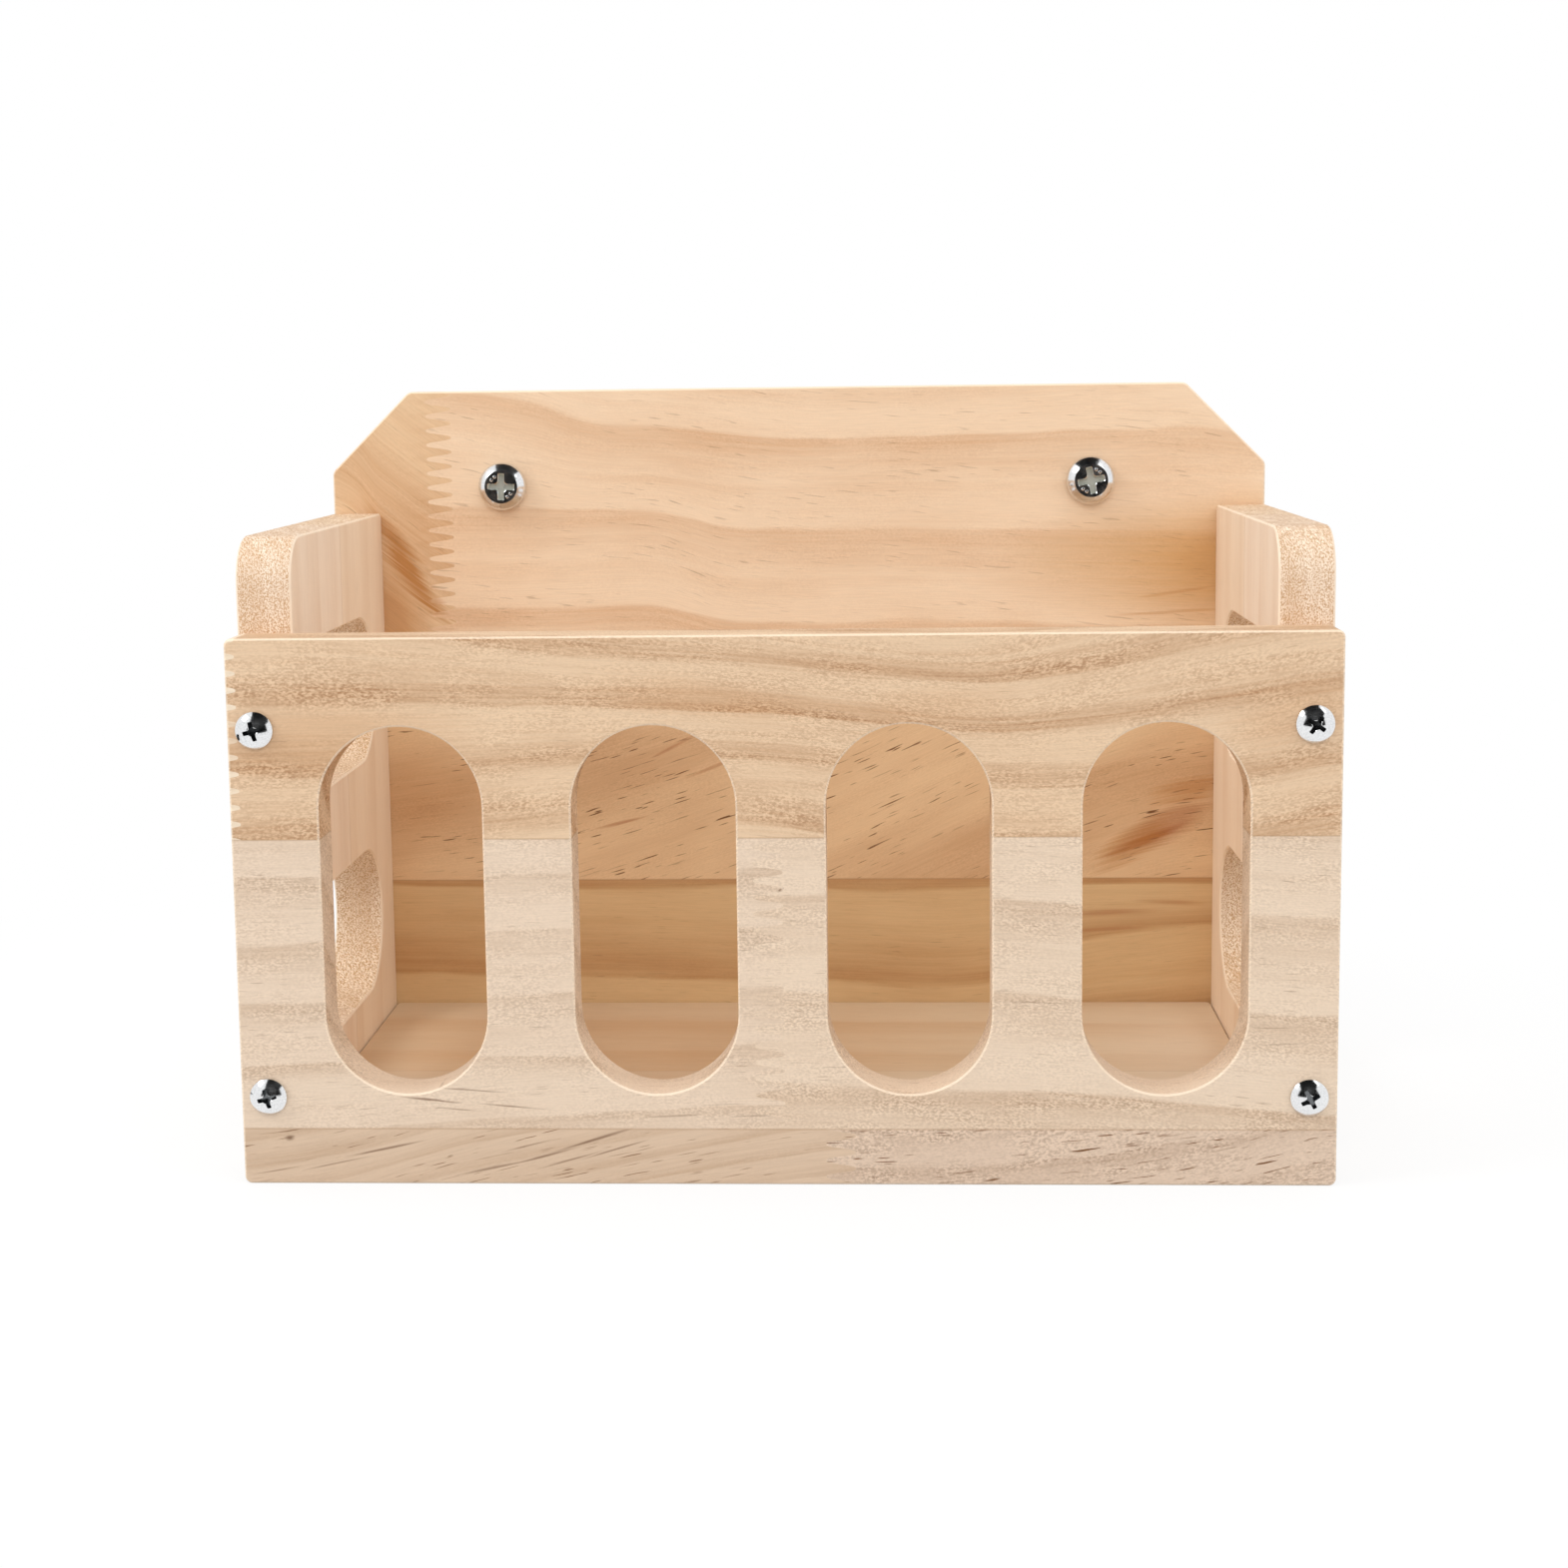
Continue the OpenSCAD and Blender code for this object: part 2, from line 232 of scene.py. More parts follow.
@dataclass
class Timber:
    """One piece of timber in a board: where it lies and how its growth rings run over the face.

    Lengths are in millimetres. A flow is a row of (place along the board, height of the ring line).
    """
    early: str                  # colour of the wide pale early wood
    late: str                   # colour of the brown late wood
    edge: float = -1000.0       # the glue line that it starts at, if not below the whole board
    joint: float = None         # the finger joint that it starts at, along the board
    seam: float = 0.1           # how plainly that finger joint shows
    ring: float = 14.0          # from one growth ring to the next, negative where they face down
    start: float = 0.0          # where one ring ends, across the board
    strength: float = 0.8       # how dark the late wood gets
    ducts: float = 0.3          # how many resin ducts show
    fuzz: float = 0.5           # how much raised fibre shows
    lines: float = 0.8          # how plainly the fine streaks show
    soft: float = 0.2           # how softly a ring ends, from 0 to 1
    tilt: float = 0.0           # how steeply the resin ducts cross the rings
    lean: float = 0.8           # how far the rings lean through the board's thickness
    low: tuple = ((-120, 0), (120, 0))
    high: tuple = None
    low_at: float = 0.0         # where the low flow holds, across the board
    high_at: float = 100.0      # where the high flow holds


FLOW_SPAN = 130.0    # a flow's curve covers this far to each side of the board's middle
FLOW_RISE = 40.0     # and this far up and down

FRONT_TIMBERS = (
    Timber("#DAC0A6", "#AF8C6B", ring=-5.5, start=2, strength=0.42, ducts=1.1, fuzz=0.3, lines=0.5,
           soft=0.5, low=((-120, -27), (-60, -14), (0, -2), (20, 0))),
    Timber("#DDC5AF", "#A98A70", joint=9.0, ring=9, start=3, strength=0.36, ducts=1.8, fuzz=3.3,
           soft=0.5, low=((0, 0), (60, 3), (90, 7), (120, 13))),
    Timber("#E6D0B9", "#B9997A", edge=12.3, ring=13.7, start=27.5, strength=0.42, ducts=0.4,
           fuzz=1.6, lines=0.5, soft=0.3, low=((-120, -2), (-80, 0), (-55, 2), (0, 4)),
           high=((-120, -1), (-80, 0), (0, 1)), low_at=27, high_at=68),
    Timber("#E7D1B9", "#C0A082", edge=12.3, joint=-6.0, seam=0.12, ring=21, start=39, strength=0.55,
           ducts=0.5, fuzz=1.9, lines=0.5, soft=0.2, low=((0, 4), (55, 3), (90, 0), (120, -2))),
    Timber("#F0DEC6", "#E2C6A4", edge=75.8, ring=14.5, start=88, strength=0.3),
    Timber("#E3C5A4", "#AB7748", edge=75.8, joint=-121.6, seam=0.1, ring=-14.5, start=88,
           strength=0.6, ducts=0.3, fuzz=1.7, lines=0.8, soft=0.7,
           low=((-117, 0), (-98, 0.5), (-60, 3.5), (-45, 5), (-13, 6), (10, 4), (45, -2), (63, -2),
                (99, 0), (117, 3)),
           high=((-117, 3), (-98, 2.6), (-70, 0.6), (-45, -2), (-4, -6), (17, -9.5), (41, -11),
                 (62, -7), (91, -0.5), (117, 3)), low_at=88, high_at=117),
)

BACK_TIMBERS = (
    Timber("#E0BF90", "#AB7038", ring=-25, start=17, strength=0.62, ducts=0.3, fuzz=0.15, lines=0.4,
           soft=0.3, low_at=32, high_at=43, high=((-120, 0), (120, 0)),
           low=((-120, 2.4), (-100, 2.2), (-43, 1.4), (7, 0), (50, 0), (60, 5), (72, 11), (90, 13),
                (105, 14.6), (120, 15))),
    Timber("#EBC99F", "#A4642A", edge=44.4, ring=60, start=42, strength=0.52, ducts=1.6, fuzz=0.4,
           lines=0.25, soft=0.8, low=((-120, -30), (-105, -28), (-77, -24), (-55, -18), (-5, -2),
           (7, 2), (48, 20), (72, 30), (105, 38))),
    Timber("#EBCAA3", "#BE8450", edge=97.0, ring=-62, start=128, strength=0.6, ducts=0.5,
           fuzz=0.4, lines=0.5, soft=0.7, low=((-120, 16), (-105, 4), (-88, -8), (-70, -16))),
    Timber("#F3D6B6", "#C88C52", edge=97.0, joint=-93.3, seam=0.15, ring=24, start=135.2,
           strength=0.5, ducts=0.4, fuzz=0.4, lines=0.4, soft=0.25, tilt=-0.12,
           low=((-90, 4.6), (-60, 4.7), (-45, 5.3), (-36, 5.2), (-27, 3.2), (-19, 1), (-4, 0),
                (26, 0), (51, -0.5), (76, -1.2), (105, -1.8), (120, -2)),
           high=((-90, 11), (-69, 8.2), (-49, 2.8), (-34, 2), (-19, 0.6), (1, -1.3), (26, -1),
                 (51, -0.3), (76, 0.8), (100, 1), (120, -1)), low_at=135.2, high_at=159.2),
)

# The side boards' pine is paler than its own colour, as painted light on their shaded inner faces
SIDE_TIMBERS = (
    Timber("#FBE8D3", "#D6AE86", ring=19, start=-41, strength=0.27, ducts=0.15, fuzz=0.25,
           lines=0.25, soft=0.6, lean=1.6),
    Timber("#FAE6CE", "#D3A97C", edge=0.5, ring=23, start=9, strength=0.25, ducts=0.15, fuzz=0.25,
           lines=0.25, soft=0.6, lean=1.4),
)

FLOOR_TIMBERS = (
    Timber("#DFCDB3", "#CDA67C", ring=27, start=-30, strength=0.4, ducts=0.2, fuzz=0.25, lines=0.5,
           soft=0.5),
    Timber("#DDC6A7", "#C49565", edge=-15.2, ring=29, start=2, strength=0.4, ducts=0.2, fuzz=0.15,
           lines=0.4, soft=0.5, low=((-120, 2), (0, 0), (120, -4))),
)

# Knots, pitch streaks, stains and specks, with painted shade and painted light: colour, place along and
# across the board, half length, half width, angle in degrees and strength
PITCH, STAIN_AND_SHADE, FLAME, GOLD_SHADE, PAINTED_LIGHT = "#75543B", "#B87834", "#A55A2A", "#CA9654", "#E8D3BC"
FRONT_MARKS = (
    # Painted light: pale bands over the bottoms of the slots, where the light from above falls
    (PAINTED_LIGHT, -62, 22, 74, 6, 1, 0.6), (PAINTED_LIGHT, 62, 25, 70, 6, -1, 0.5),
    (STAIN_AND_SHADE, -98, 96.5, 34, 9, 2, 0.28), (STAIN_AND_SHADE, 108, 102, 18, 7, 14, 0.22),
    (STAIN_AND_SHADE, -10, 105, 30, 5, -6, 0.2), (STAIN_AND_SHADE, 30, 103, 24, 5, 4, 0.15),
    (PITCH, -107.3, 10.2, 1.5, 0.8, 8, 0.8), (PITCH, -0.3, 64.6, 0.9, 0.4, 25, 0.9),
    (PITCH, -88, 7.5, 10, 0.3, 12, 0.7), (PITCH, -97, 4.6, 9, 0.25, 12, 0.5),
    (PITCH, -62, 3.8, 9, 0.35, 12, 0.6), (PITCH, -42, 9.6, 10, 0.4, 17, 0.75),
    (PITCH, -52, 6.2, 8, 0.35, 15, 0.7), (PITCH, -47, 5.2, 9, 0.3, 16, 0.6),
    (PITCH, -37, 7.6, 8, 0.25, 17, 0.6), (PITCH, -56, 8.4, 7, 0.25, 14, 0.5),
    (PITCH, -75, 18.6, 8, 0.35, -6, 0.7), (PITCH, -60, 17.4, 9, 0.3, -5, 0.65),
    (PITCH, -66, 20.8, 9, 0.28, -4, 0.55), (PITCH, -70, 16.6, 7, 0.25, -5, 0.5),
    (PITCH, -110, 3, 7, 0.3, 10, 0.5), (PITCH, -24, 15.2, 6, 0.2, 3, 0.35),
    (PITCH, -12, 17.8, 6, 0.2, 2, 0.3), (PITCH, -7, 15.2, 5, 0.2, 2, 0.35),
    (PITCH, 52, 40.2, 9, 0.3, -2, 0.3), (PITCH, 104, 34.5, 7, 0.2, 1, 0.4),
    (PITCH, 106, 31, 8, 0.2, 2, 0.4),
)
BACK_MARKS = (
    (FLAME, -33, 78.5, 8, 0.6, 27, 0.4), (FLAME, -21, 74, 9, 0.5, 22, 0.35),
    (FLAME, -45, 59.5, 8, 0.5, 14, 0.5), (FLAME, 88, 54, 13, 1.2, 24, 0.6),
    (FLAME, 95, 58.5, 13, 4.4, 26, 0.45), (STAIN_AND_SHADE, 85, 53, 12, 4.0, 32, 0.5),
    (STAIN_AND_SHADE, 101, 68, 12, 4, 12, 0.5), (FLAME, 80, 35.5, 13, 1.0, 2, 0.4),
    (FLAME, 96, 38, 10, 0.9, -3, 0.35), (FLAME, 78, 31, 10, 0.6, 3, 0.3),
    # The broad second mark here darkens the wood below the ring band and also paints the shadow of the left
    # side board there
    (STAIN_AND_SHADE, -99.5, 126.8, 19, 4, -57.5, 0.85), (STAIN_AND_SHADE, -104, 114, 18, 11, -57, 0.6),
    # The gold mark at the right end is a darker golden tone of the wood with painted shade in the corner by
    # the right side board
    (GOLD_SHADE, 132, 124, 84, 21, 0, 0.8), (STAIN_AND_SHADE, 92, 112.5, 17, 0.5, 3, 0.35),
    (STAIN_AND_SHADE, 84, 107, 14, 0.45, 2, 0.35), (STAIN_AND_SHADE, 98, 118, 10, 0.4, 8, 0.3),
    # These two faint marks paint the shade of the left side board over the left of the back board
    (STAIN_AND_SHADE, -100, 30, 90, 18, 0, 0.15), (STAIN_AND_SHADE, -96, 68, 22, 14, 10, 0.2),
)
# Painted shade over the floor's left half and painted light at its right end
FLOOR_MARKS = ((STAIN_AND_SHADE, -45, 0, 100, 70, 0, 0.3), (PAINTED_LIGHT, 112, 0, 60, 70, 0, 0.4))


# A timber's traits, as they travel three to a vector through the nodes
TRAITS = (("ring", "start", "strength"), ("ducts", "lean", "fuzz"), ("lines", "soft", "tilt"))

# Noise that runs with the grain: the size of its grains along it, across the rings and through the
# board in millimetres, its detail and roughness, and which range of it is spread over which values
PATTERNS = {
    # How far the growth rings stray, in millimetres, and how softly each of them ends
    "wander": ((60, 11, 11), 2, 0.5, (0.25, 0.75, -1.4, 1.4)),
    "ripple": ((14, 2.5, 6), 2, 0.5, (0.25, 0.75, -0.25, 0.25)),
    "blur": ((50, 14, 14), 1, 0.5, (0.35, 0.65, -0.3, 0.3)),
    # Broad streaks, fine streaks and clouds of colour
    "streak": ((70, 1.1, 3), 3, 0.6, (0.3, 0.7, -0.5, 0.5)),
    "fine": ((40, 0.55, 2), 2, 0.6, (0.3, 0.7, -0.5, 0.5)),
    "cloud": ((35, 9, 9), 2, 0.5, (0.3, 0.7, -0.5, 0.5)),
    # Fine hairs along the grain, ends of fibres that the sander raised and where they gather
    "hair": ((7, 0.3, 0.3), 2, 0.6, (0.3, 0.7, -1.0, 1.0)),
    "nap": ((0.7, 0.38, 0.38), 1, 0.5, (0.36, 0.64, -1.0, 1.0)),
    "patch": ((16, 5, 5), 2, 0.5, (0.4, 0.6, 0.35, 1.3)),
    # Torn pores of the narrow sides, which were sawn and not planed
    "torn": ((0.35, 0.4, 0.7), 1, 0.5, (0.45, 0.66, -0.25, 1.0)),
    # Resin ducts: short dashes along the grain, in flocks
    "dash": ((5.5, 0.42, 0.8), 0.5, 0.5, (0.68, 0.75, 0.0, 1.0)),
    "flock": ((30, 6, 6), 1, 0.5, (0.42, 0.62, 0.0, 1.0)),
}

# How far the wood has darkened at each share of a year's growth, in a ring that ends at a sharp
# edge and in one that ends softly
SHARP_RING = ((0.0, 0.0), (0.26, 0.08), (0.42, 0.34), (0.48, 0.18), (0.66, 0.6), (0.72, 0.5),
              (0.88, 0.95), (0.96, 1.0), (1.0, 0.0))
SOFT_RING = ((0.0, 0.42), (0.12, 0.12), (0.32, 0.1), (0.44, 0.26), (0.52, 0.2), (0.68, 0.62),
             (0.8, 0.78), (0.9, 0.72), (1.0, 0.42))

GLUE_SHOWS, FINGERS_SHOW, TIPS_SHOW = 0.4, 0.55, 0.45    # how plainly each part of a joint shows
PALE_RING = 0.72             # how much of its darkness the palest ring keeps
SEED_STEP = 7.3              # moves each timber to a figure of its own
RAGGED_WIDTH = 4.0           # marks wider than this, in millimetres, get softer edges
MARK_CORE = 0.35             # the share of a mark that has its full colour
CLOUDS, ENDS, TORN, NAP = 0.16, 0.12, 0.62, -0.2    # how much each darkens the wood
DUCTS, RUBBED_AND_LIT_EDGES = 0.8, 0.6                      # and how much of their colour these show
RUBBED_AND_LIT = "#FBE7CE"           # the pale line where the sander broke an edge, partly painted highlight where the bevel catches the light
FIBRE_DEPTH = 0.04 * MM      # how high the raised fibre stands


def flow_curve(put, place, points):
    """How high a ring line lies along the board, as 0 to 1 over the flow's rise."""
    node = put("FloatCurve", {"Value": place})
    curve = node.mapping.curves[0]
    coords = [((u / FLOW_SPAN + 1) / 2, (rise / FLOW_RISE + 1) / 2) for u, rise in points]
    coords = [(0.0, coords[0][1])] + coords + [(1.0, coords[-1][1])]
    for point, coord in zip((curve.points[0], curve.points[-1]), (coords[0], coords[-1])):
        point.location = coord
    for coord in coords[1:-1]:
        curve.points.new(*coord)
    node.mapping.update()
    return node


def joined_timbers(put, finish, timbers, u, v):
    """What each point takes from the timber that it lies in, and how plainly the joints show."""
    place = put("MapRange", u, -FLOW_SPAN, FLOW_SPAN)
    pitch, reach = finish.finger_pitch / MM, finish.finger_length / MM
    half, slant = finish.glue_line / MM, pitch / 2 / math.hypot(pitch / 2, reach)
    # Fingers: round teeth across the board, 0 at their roots and 1 at their tips
    zigzag = put("MapRange", put("Math.PINGPONG", v, pitch / 2), 0.02 * pitch, 0.48 * pitch,
                 interpolation_type="SMOOTHERSTEP")
    fingered = put("*+", zigzag, reach, u)

    glue = outline = browned = 0.0
    for number, timber in enumerate(timbers):
        flow = flow_curve(put, place, timber.low)
        if timber.high:
            share = put("MapRange", v, timber.low_at, timber.high_at)
            flow = put("Mix.FLOAT", share, flow, flow_curve(put, place, timber.high))
        own = [("FLOAT", flow), ("RGBA", linear(timber.early)), ("RGBA", linear(timber.late))]
        own += [("VECTOR", [getattr(timber, trait) for trait in three]) for three in TRAITS]
        if number == 0:
            mixed = [value for kind, value in own]
            continue
        here = put("Math.GREATER_THAN", v, timber.edge)
        if timber.joint is None:
            apart = put("Math.ABSOLUTE", put("-", v, timber.edge))
            line = put("MapRange", apart, half * 1.6, half * 0.4, 0.0, GLUE_SHOWS)
            glue = put("Math.MAXIMUM", glue, line)
        else:
            past = put("-", fingered, timber.joint + reach)
            stave = here
            above = [t.edge for t in timbers[number + 1:] if t.edge > timber.edge]
            if above:
                stave = put("*", stave, put("Math.LESS_THAN", v, above[0]))
            here = put("*", here, put("Math.GREATER_THAN", past, 0.0))
            apart = put("*", put("Math.ABSOLUTE", past), slant)
            line = put("MapRange", apart, half * 1.5, half * 0.3, 0.0, FINGERS_SHOW * timber.seam)
            outline = put("*+", stave, line, outline)
            tip = put("MapRange", past, -0.9 * reach, -0.3 * reach, 0.0, TIPS_SHOW * timber.seam)
            tip = put("*", tip, put("-", stave, here))
            browned = put("Math.MAXIMUM", browned, tip)
        mixed = [put("Mix." + kind, here, old, new) for old, (kind, new) in zip(mixed, own)]

    wood = dict(zip(("flow", "early", "late"), mixed))
    for three, vector in zip(TRAITS, mixed[3:]):
        wood.update(zip(three, put("SeparateXYZ", vector).outputs))
    return (SimpleNamespace(**wood),
            SimpleNamespace(glue=glue, outline=outline, browned=browned))


def grain_noise(put, lie, size, detail, rough, spread):
    """Noise whose grains have this size in millimetres, spread over a range of values."""
    scaled = put("VectorMath.MULTIPLY", lie, [1 / mm for mm in size])
    noise = put("TexNoise", {"Vector": scaled, "Scale": 1.0, "Detail": detail, "Roughness": rough})
    return put("MapRange", noise, *spread)


def growth_rings(put, wood, pattern, straight):
    """How dark the wood is, from 0 in early wood, which darkens slowly into late wood."""
    count = put("-", straight, wood.start)
    count = put("+", put("+", count, pattern["wander"]), pattern["ripple"])
    count = put("/", count, wood.ring)
    year, season = put("Math.FLOOR", count), put("Math.FRACT", count)
    bands = []
    for levels in (SHARP_RING, SOFT_RING):
        bands.append(put("ValToRGB", season))
        elements = bands[-1].color_ramp.elements
        for element, (position, level) in zip(elements, (levels[0], levels[-1])):
            element.position, element.color = position, (level, level, level, 1)
        for position, level in levels[1:-1]:
            elements.new(position).color = (level, level, level, 1)
    blur = put("+", wood.soft, pattern["blur"], use_clamp=True)
    dark = put("Mix.FLOAT", blur, *bands)
    rich = put("TexWhiteNoise", {"W": put("+", year, wood.start)}, noise_dimensions="1D")
    dark = put("*", dark, put("MapRange", rich, 0.0, 1.0, PALE_RING, 1.0))
    return put("*", dark, wood.strength)


def draw_marks(put, colour, place, ragged, marks):
    """Lays ragged oval marks over the wood's colour."""
    for tint, at_u, at_v, half_length, half_width, angle, level in marks:
        local = put("Mapping", place, (at_u, at_v, 0), (0, 0, math.radians(angle)),
                    (half_length, half_width, 1), vector_type="TEXTURE")
        spread = put("*+", ragged, min(1.0, RAGGED_WIDTH / half_width),
                     put("VectorMath.LENGTH", local))
        spot = put("MapRange", spread, 1.0, MARK_CORE, 0.0, level)
        colour = put("Mix.RGBA", spot, colour, linear(tint))
    return colour


def sanded_pine(name, finish, axes, face, middle, timbers, marks, sawn):
    """Radiata pine, edge-glued and finger-jointed from staves, sanded and left bare.

    The eye gets wide pale early wood that darkens into brown late wood with one sharp edge, fine
    fibre along the grain, short resin ducts, thin glue lines and, on cut ends, the rings.
    The axes, 0 to 2, are those that the grain, the board's width and its thickness lie on; face and
    middle are in millimetres; sawn is how torn the narrow sides are.
    """
    material, put = new_material(name)
    along, across, through = axes
    coords = put("TexCoord")
    part = put("SeparateXYZ", put("VectorMath.SCALE", coords.outputs["Object"], {"Scale": 1 / MM}))
    u = put("-", part.outputs[along], middle)
    v = part.outputs[across]
    w = put("-", part.outputs[through], face)
    wood, joints = joined_timbers(put, finish, timbers, u, v)

    # Where the sander broke an edge, which gets a pale line that is partly painted highlight, where the
    # fibres end, and the narrow sides of the board
    facing = put("SeparateXYZ", coords.outputs["Normal"]).outputs
    flatness = put("Math.ABSOLUTE", facing[through])
    broken_and_lit = put("*", put("MapRange", flatness, 0.15, 0.4),
                 put("MapRange", flatness, 0.8, 0.95, 1.0, 0.0))
    ends = put("MapRange", put("Math.ABSOLUTE", facing[along]), 0.35, 0.8)
    narrow = put("MapRange", flatness, 0.7, 0.4)

    # The grain's own coordinates: along it, across the rings and through the board; the resin
    # ducts may cross the rings at a slant
    rise = put("*", put("-", wood.flow, 0.5), 2 * FLOW_RISE)
    straight = put("*+", w, wood.lean, put("-", v, rise))
    seed = put("*+", wood.start, SEED_STEP, w)
    grain = put("CombineXYZ", u, straight, seed)
    slanted = put("CombineXYZ", u, put("*+", put("*", u, wood.tilt), -1.0, straight), seed)
    pattern = {name: grain_noise(put, slanted if name == "dash" else grain, *recipe)
               for name, recipe in PATTERNS.items()}

    # Rings, with streaks that show most in late wood and on narrow sides, and clouds over them
    dark = growth_rings(put, wood, pattern, straight)
    streak = put("*+", pattern["fine"], 0.6, pattern["streak"])
    swing = put("*+", dark, 0.6, 0.14)
    swing = put("*", put("*+", narrow, 0.3, swing), wood.lines)
    shade = put("*+", streak, swing, dark)
    shade = put("*+", pattern["cloud"], CLOUDS, shade)
    shade = put("+", shade, joints.browned)

    # Raised fibre, most of it in late wood and where the fibres end; its specks are painted highlight and
    # shadow in the colour as well as bumps
    raised = put("*+", shade, 0.55, 0.2)
    raised = put("*", put("*", raised, pattern["patch"]), wood.fuzz)
    raised = put("*+", ends, 0.8, raised)
    nap = put("*", pattern["nap"], raised)
    shade = put("*+", nap, NAP, shade)

    # Torn brown pores on the sawn sides
    gathered = put("*+", pattern["patch"], 0.7, 1.0)
    torn = put("*", put("*", pattern["torn"], gathered), sawn)
    torn = put("*", put("+", torn, 0.6 * sawn - 0.15), narrow)
    shade = put("*+", torn, TORN, shade)
    nap = put("*+", torn, -0.4, nap)
    shade = put("*+", ends, ENDS, shade, use_clamp=True)
    colour = put("Mix.RGBA", shade, wood.early, wood.late)

    ragged = put("*+", pattern["cloud"], 0.7, put("*", pattern["fine"], 0.5))
    colour = draw_marks(put, colour, put("CombineXYZ", u, v), ragged, marks)

    # Resin ducts, glue lines, the pressed outlines of the fingers and the rubbed edges, whose pale line is
    # partly painted highlight
    dash = put("*", put("*", pattern["dash"], pattern["flock"]), wood.ducts)
    dash = put("*", dash, DUCTS, use_clamp=True)
    for amount, tint in ((dash, finish.resin_colour), (joints.glue, finish.glue_colour),
                         (joints.outline, finish.joint_colour),
                         (put("*", broken_and_lit, RUBBED_AND_LIT_EDGES), linear(RUBBED_AND_LIT))):
        colour = put("Mix.RGBA", amount, colour, tuple(tint))
    # Fine hairs and the raised fibre's specks brighten and darken the colour; the specks are painted
    # highlight and shadow
    bright = put("*+", pattern["hair"], 0.04, 1.0)
    bright = put("*+", nap, 0.1, bright)
    colour = put("VectorMath.SCALE", colour, {"Scale": bright})

    height = put("*+", pattern["hair"], 0.5, nap)
    height = put("*+", dash, -2.0, height)
    put("OutputMaterial", put("BsdfPrincipled", {
        "Base Color": colour,
        "Roughness": put("*+", shade, -0.08, finish.roughness),
        "IOR": 1.45,
        "Specular IOR Level": 0.35,
        "Normal": put("Bump", {"Strength": 0.35, "Distance": FIBRE_DEPTH, "Height": height}),
    }))
    return material


def dress(context, node, axes, side, timbers, marks=(), middle=0.0, sawn=0.2):
    """Gives a packed board its pine, and soft shading between its true edges.

    side is 0 or 1 for the low or the high side of its box, which the show face lies on.
    """
    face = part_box(node)[side][axes[-1]] / MM
    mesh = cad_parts[node].data
    mesh.materials.clear()
    mesh.materials.append(sanded_pine("sanded_pine_" + node.removesuffix("_board"),
                                      context.scene.hay_pine, axes, face, middle, timbers, marks,
                                      sawn))
    mesh.shade_smooth()
    mesh.set_sharp_from_angle(angle=math.radians(25))


class HAYFEEDER_OT_front_board(bpy.types.Operator):
    """Dresses the slotted front board"""
    bl_idname = "hay_feeder.front_board"
    bl_label = "Front board"

    def execute(self, context):
        dress(context, "front_board", (0, 2, 1), 0, FRONT_TIMBERS, FRONT_MARKS)
        return {"FINISHED"}


class HAYFEEDER_OT_back_board(bpy.types.Operator):
    """Dresses the tall back board"""
    bl_idname = "hay_feeder.back_board"
    bl_label = "Back board"

    def execute(self, context):
        dress(context, "back_board", (0, 2, 1), 0, BACK_TIMBERS, BACK_MARKS)
        return {"FINISHED"}


class HAYFEEDER_OT_side_boards(bpy.types.Operator):
    """Dresses the two side boards, whose grain runs upright and whose inner faces show"""
    bl_idname = "hay_feeder.side_boards"
    bl_label = "Side boards"

    def execute(self, context):
        for node, inner in (("left_side_board", 1), ("right_side_board", 0)):
            dress(context, node, (2, 1, 0), inner, SIDE_TIMBERS, middle=70.0, sawn=1.2)
        return {"FINISHED"}


class HAYFEEDER_OT_floor_board(bpy.types.Operator):
    """Dresses the floor board"""
    bl_idname = "hay_feeder.floor_board"
    bl_label = "Floor board"

    def execute(self, context):
        dress(context, "floor_board", (0, 1, 2), 1, FLOOR_TIMBERS, FLOOR_MARKS)
        return {"FINISHED"}


# Fastenings

DOUBLED = 1e-7               # points nearer than this, in metres, are one point
DULL_ZINC = "#AEB1B4"        # what tumbling marks in bright zinc look like


def zinc_plated_steel(name, base, roughness, scratch_mm, metallic=1.0, grit_mm=0.01):
    """Cold-headed steel with a bright zinc plate, as screws and bolts have.

    The eye gets a cool mirror that blurs a little, with faint tumbling marks and duller patches; a
    lower metallic share stands for the chalky bloom that stays in a recess.
    """
    material, put = new_material(name)
    coords = put("TexCoord").outputs["Object"]
    grain = put("TexNoise", {"Vector": coords, "Scale": 1 / (scratch_mm * MM), "Detail": 3.0,
                             "Roughness": 0.6})
    patch = put("TexNoise", {"Vector": coords, "Scale": 1 / (2.4 * MM), "Detail": 2.0})
    put("OutputMaterial", put("BsdfPrincipled", {
        "Base Color": put("Mix.RGBA", put("MapRange", grain, 0.3, 0.7, 0.0, 0.35), linear(base),
                          linear(DULL_ZINC)),
        "Metallic": metallic,
        "Roughness": put("MapRange", patch, 0.3, 0.7, roughness * 0.75, roughness * 1.3),
        "Normal": put("Bump", {"Strength": 0.2, "Distance": grit_mm * MM, "Height": grain}),
    }))
    return material


def turned(degrees, axis="Z"):
    """A rotation by so many degrees."""
    return Matrix.Rotation(math.radians(degrees), 4, axis)


def new_object(name, mesh):
    """An object in the scene with this mesh."""
    piece = bpy.data.objects.new(name, mesh)
    bpy.context.scene.collection.objects.link(piece)
    return piece


def new_piece(name, verts, faces, place=Matrix()):
    """A mesh object from points and faces, moved to its place."""
    mesh = bpy.data.meshes.new(name)
    mesh.from_pydata([place @ Vector(v) for v in verts], [], faces)
    mesh.validate()
    return new_object(name, mesh)


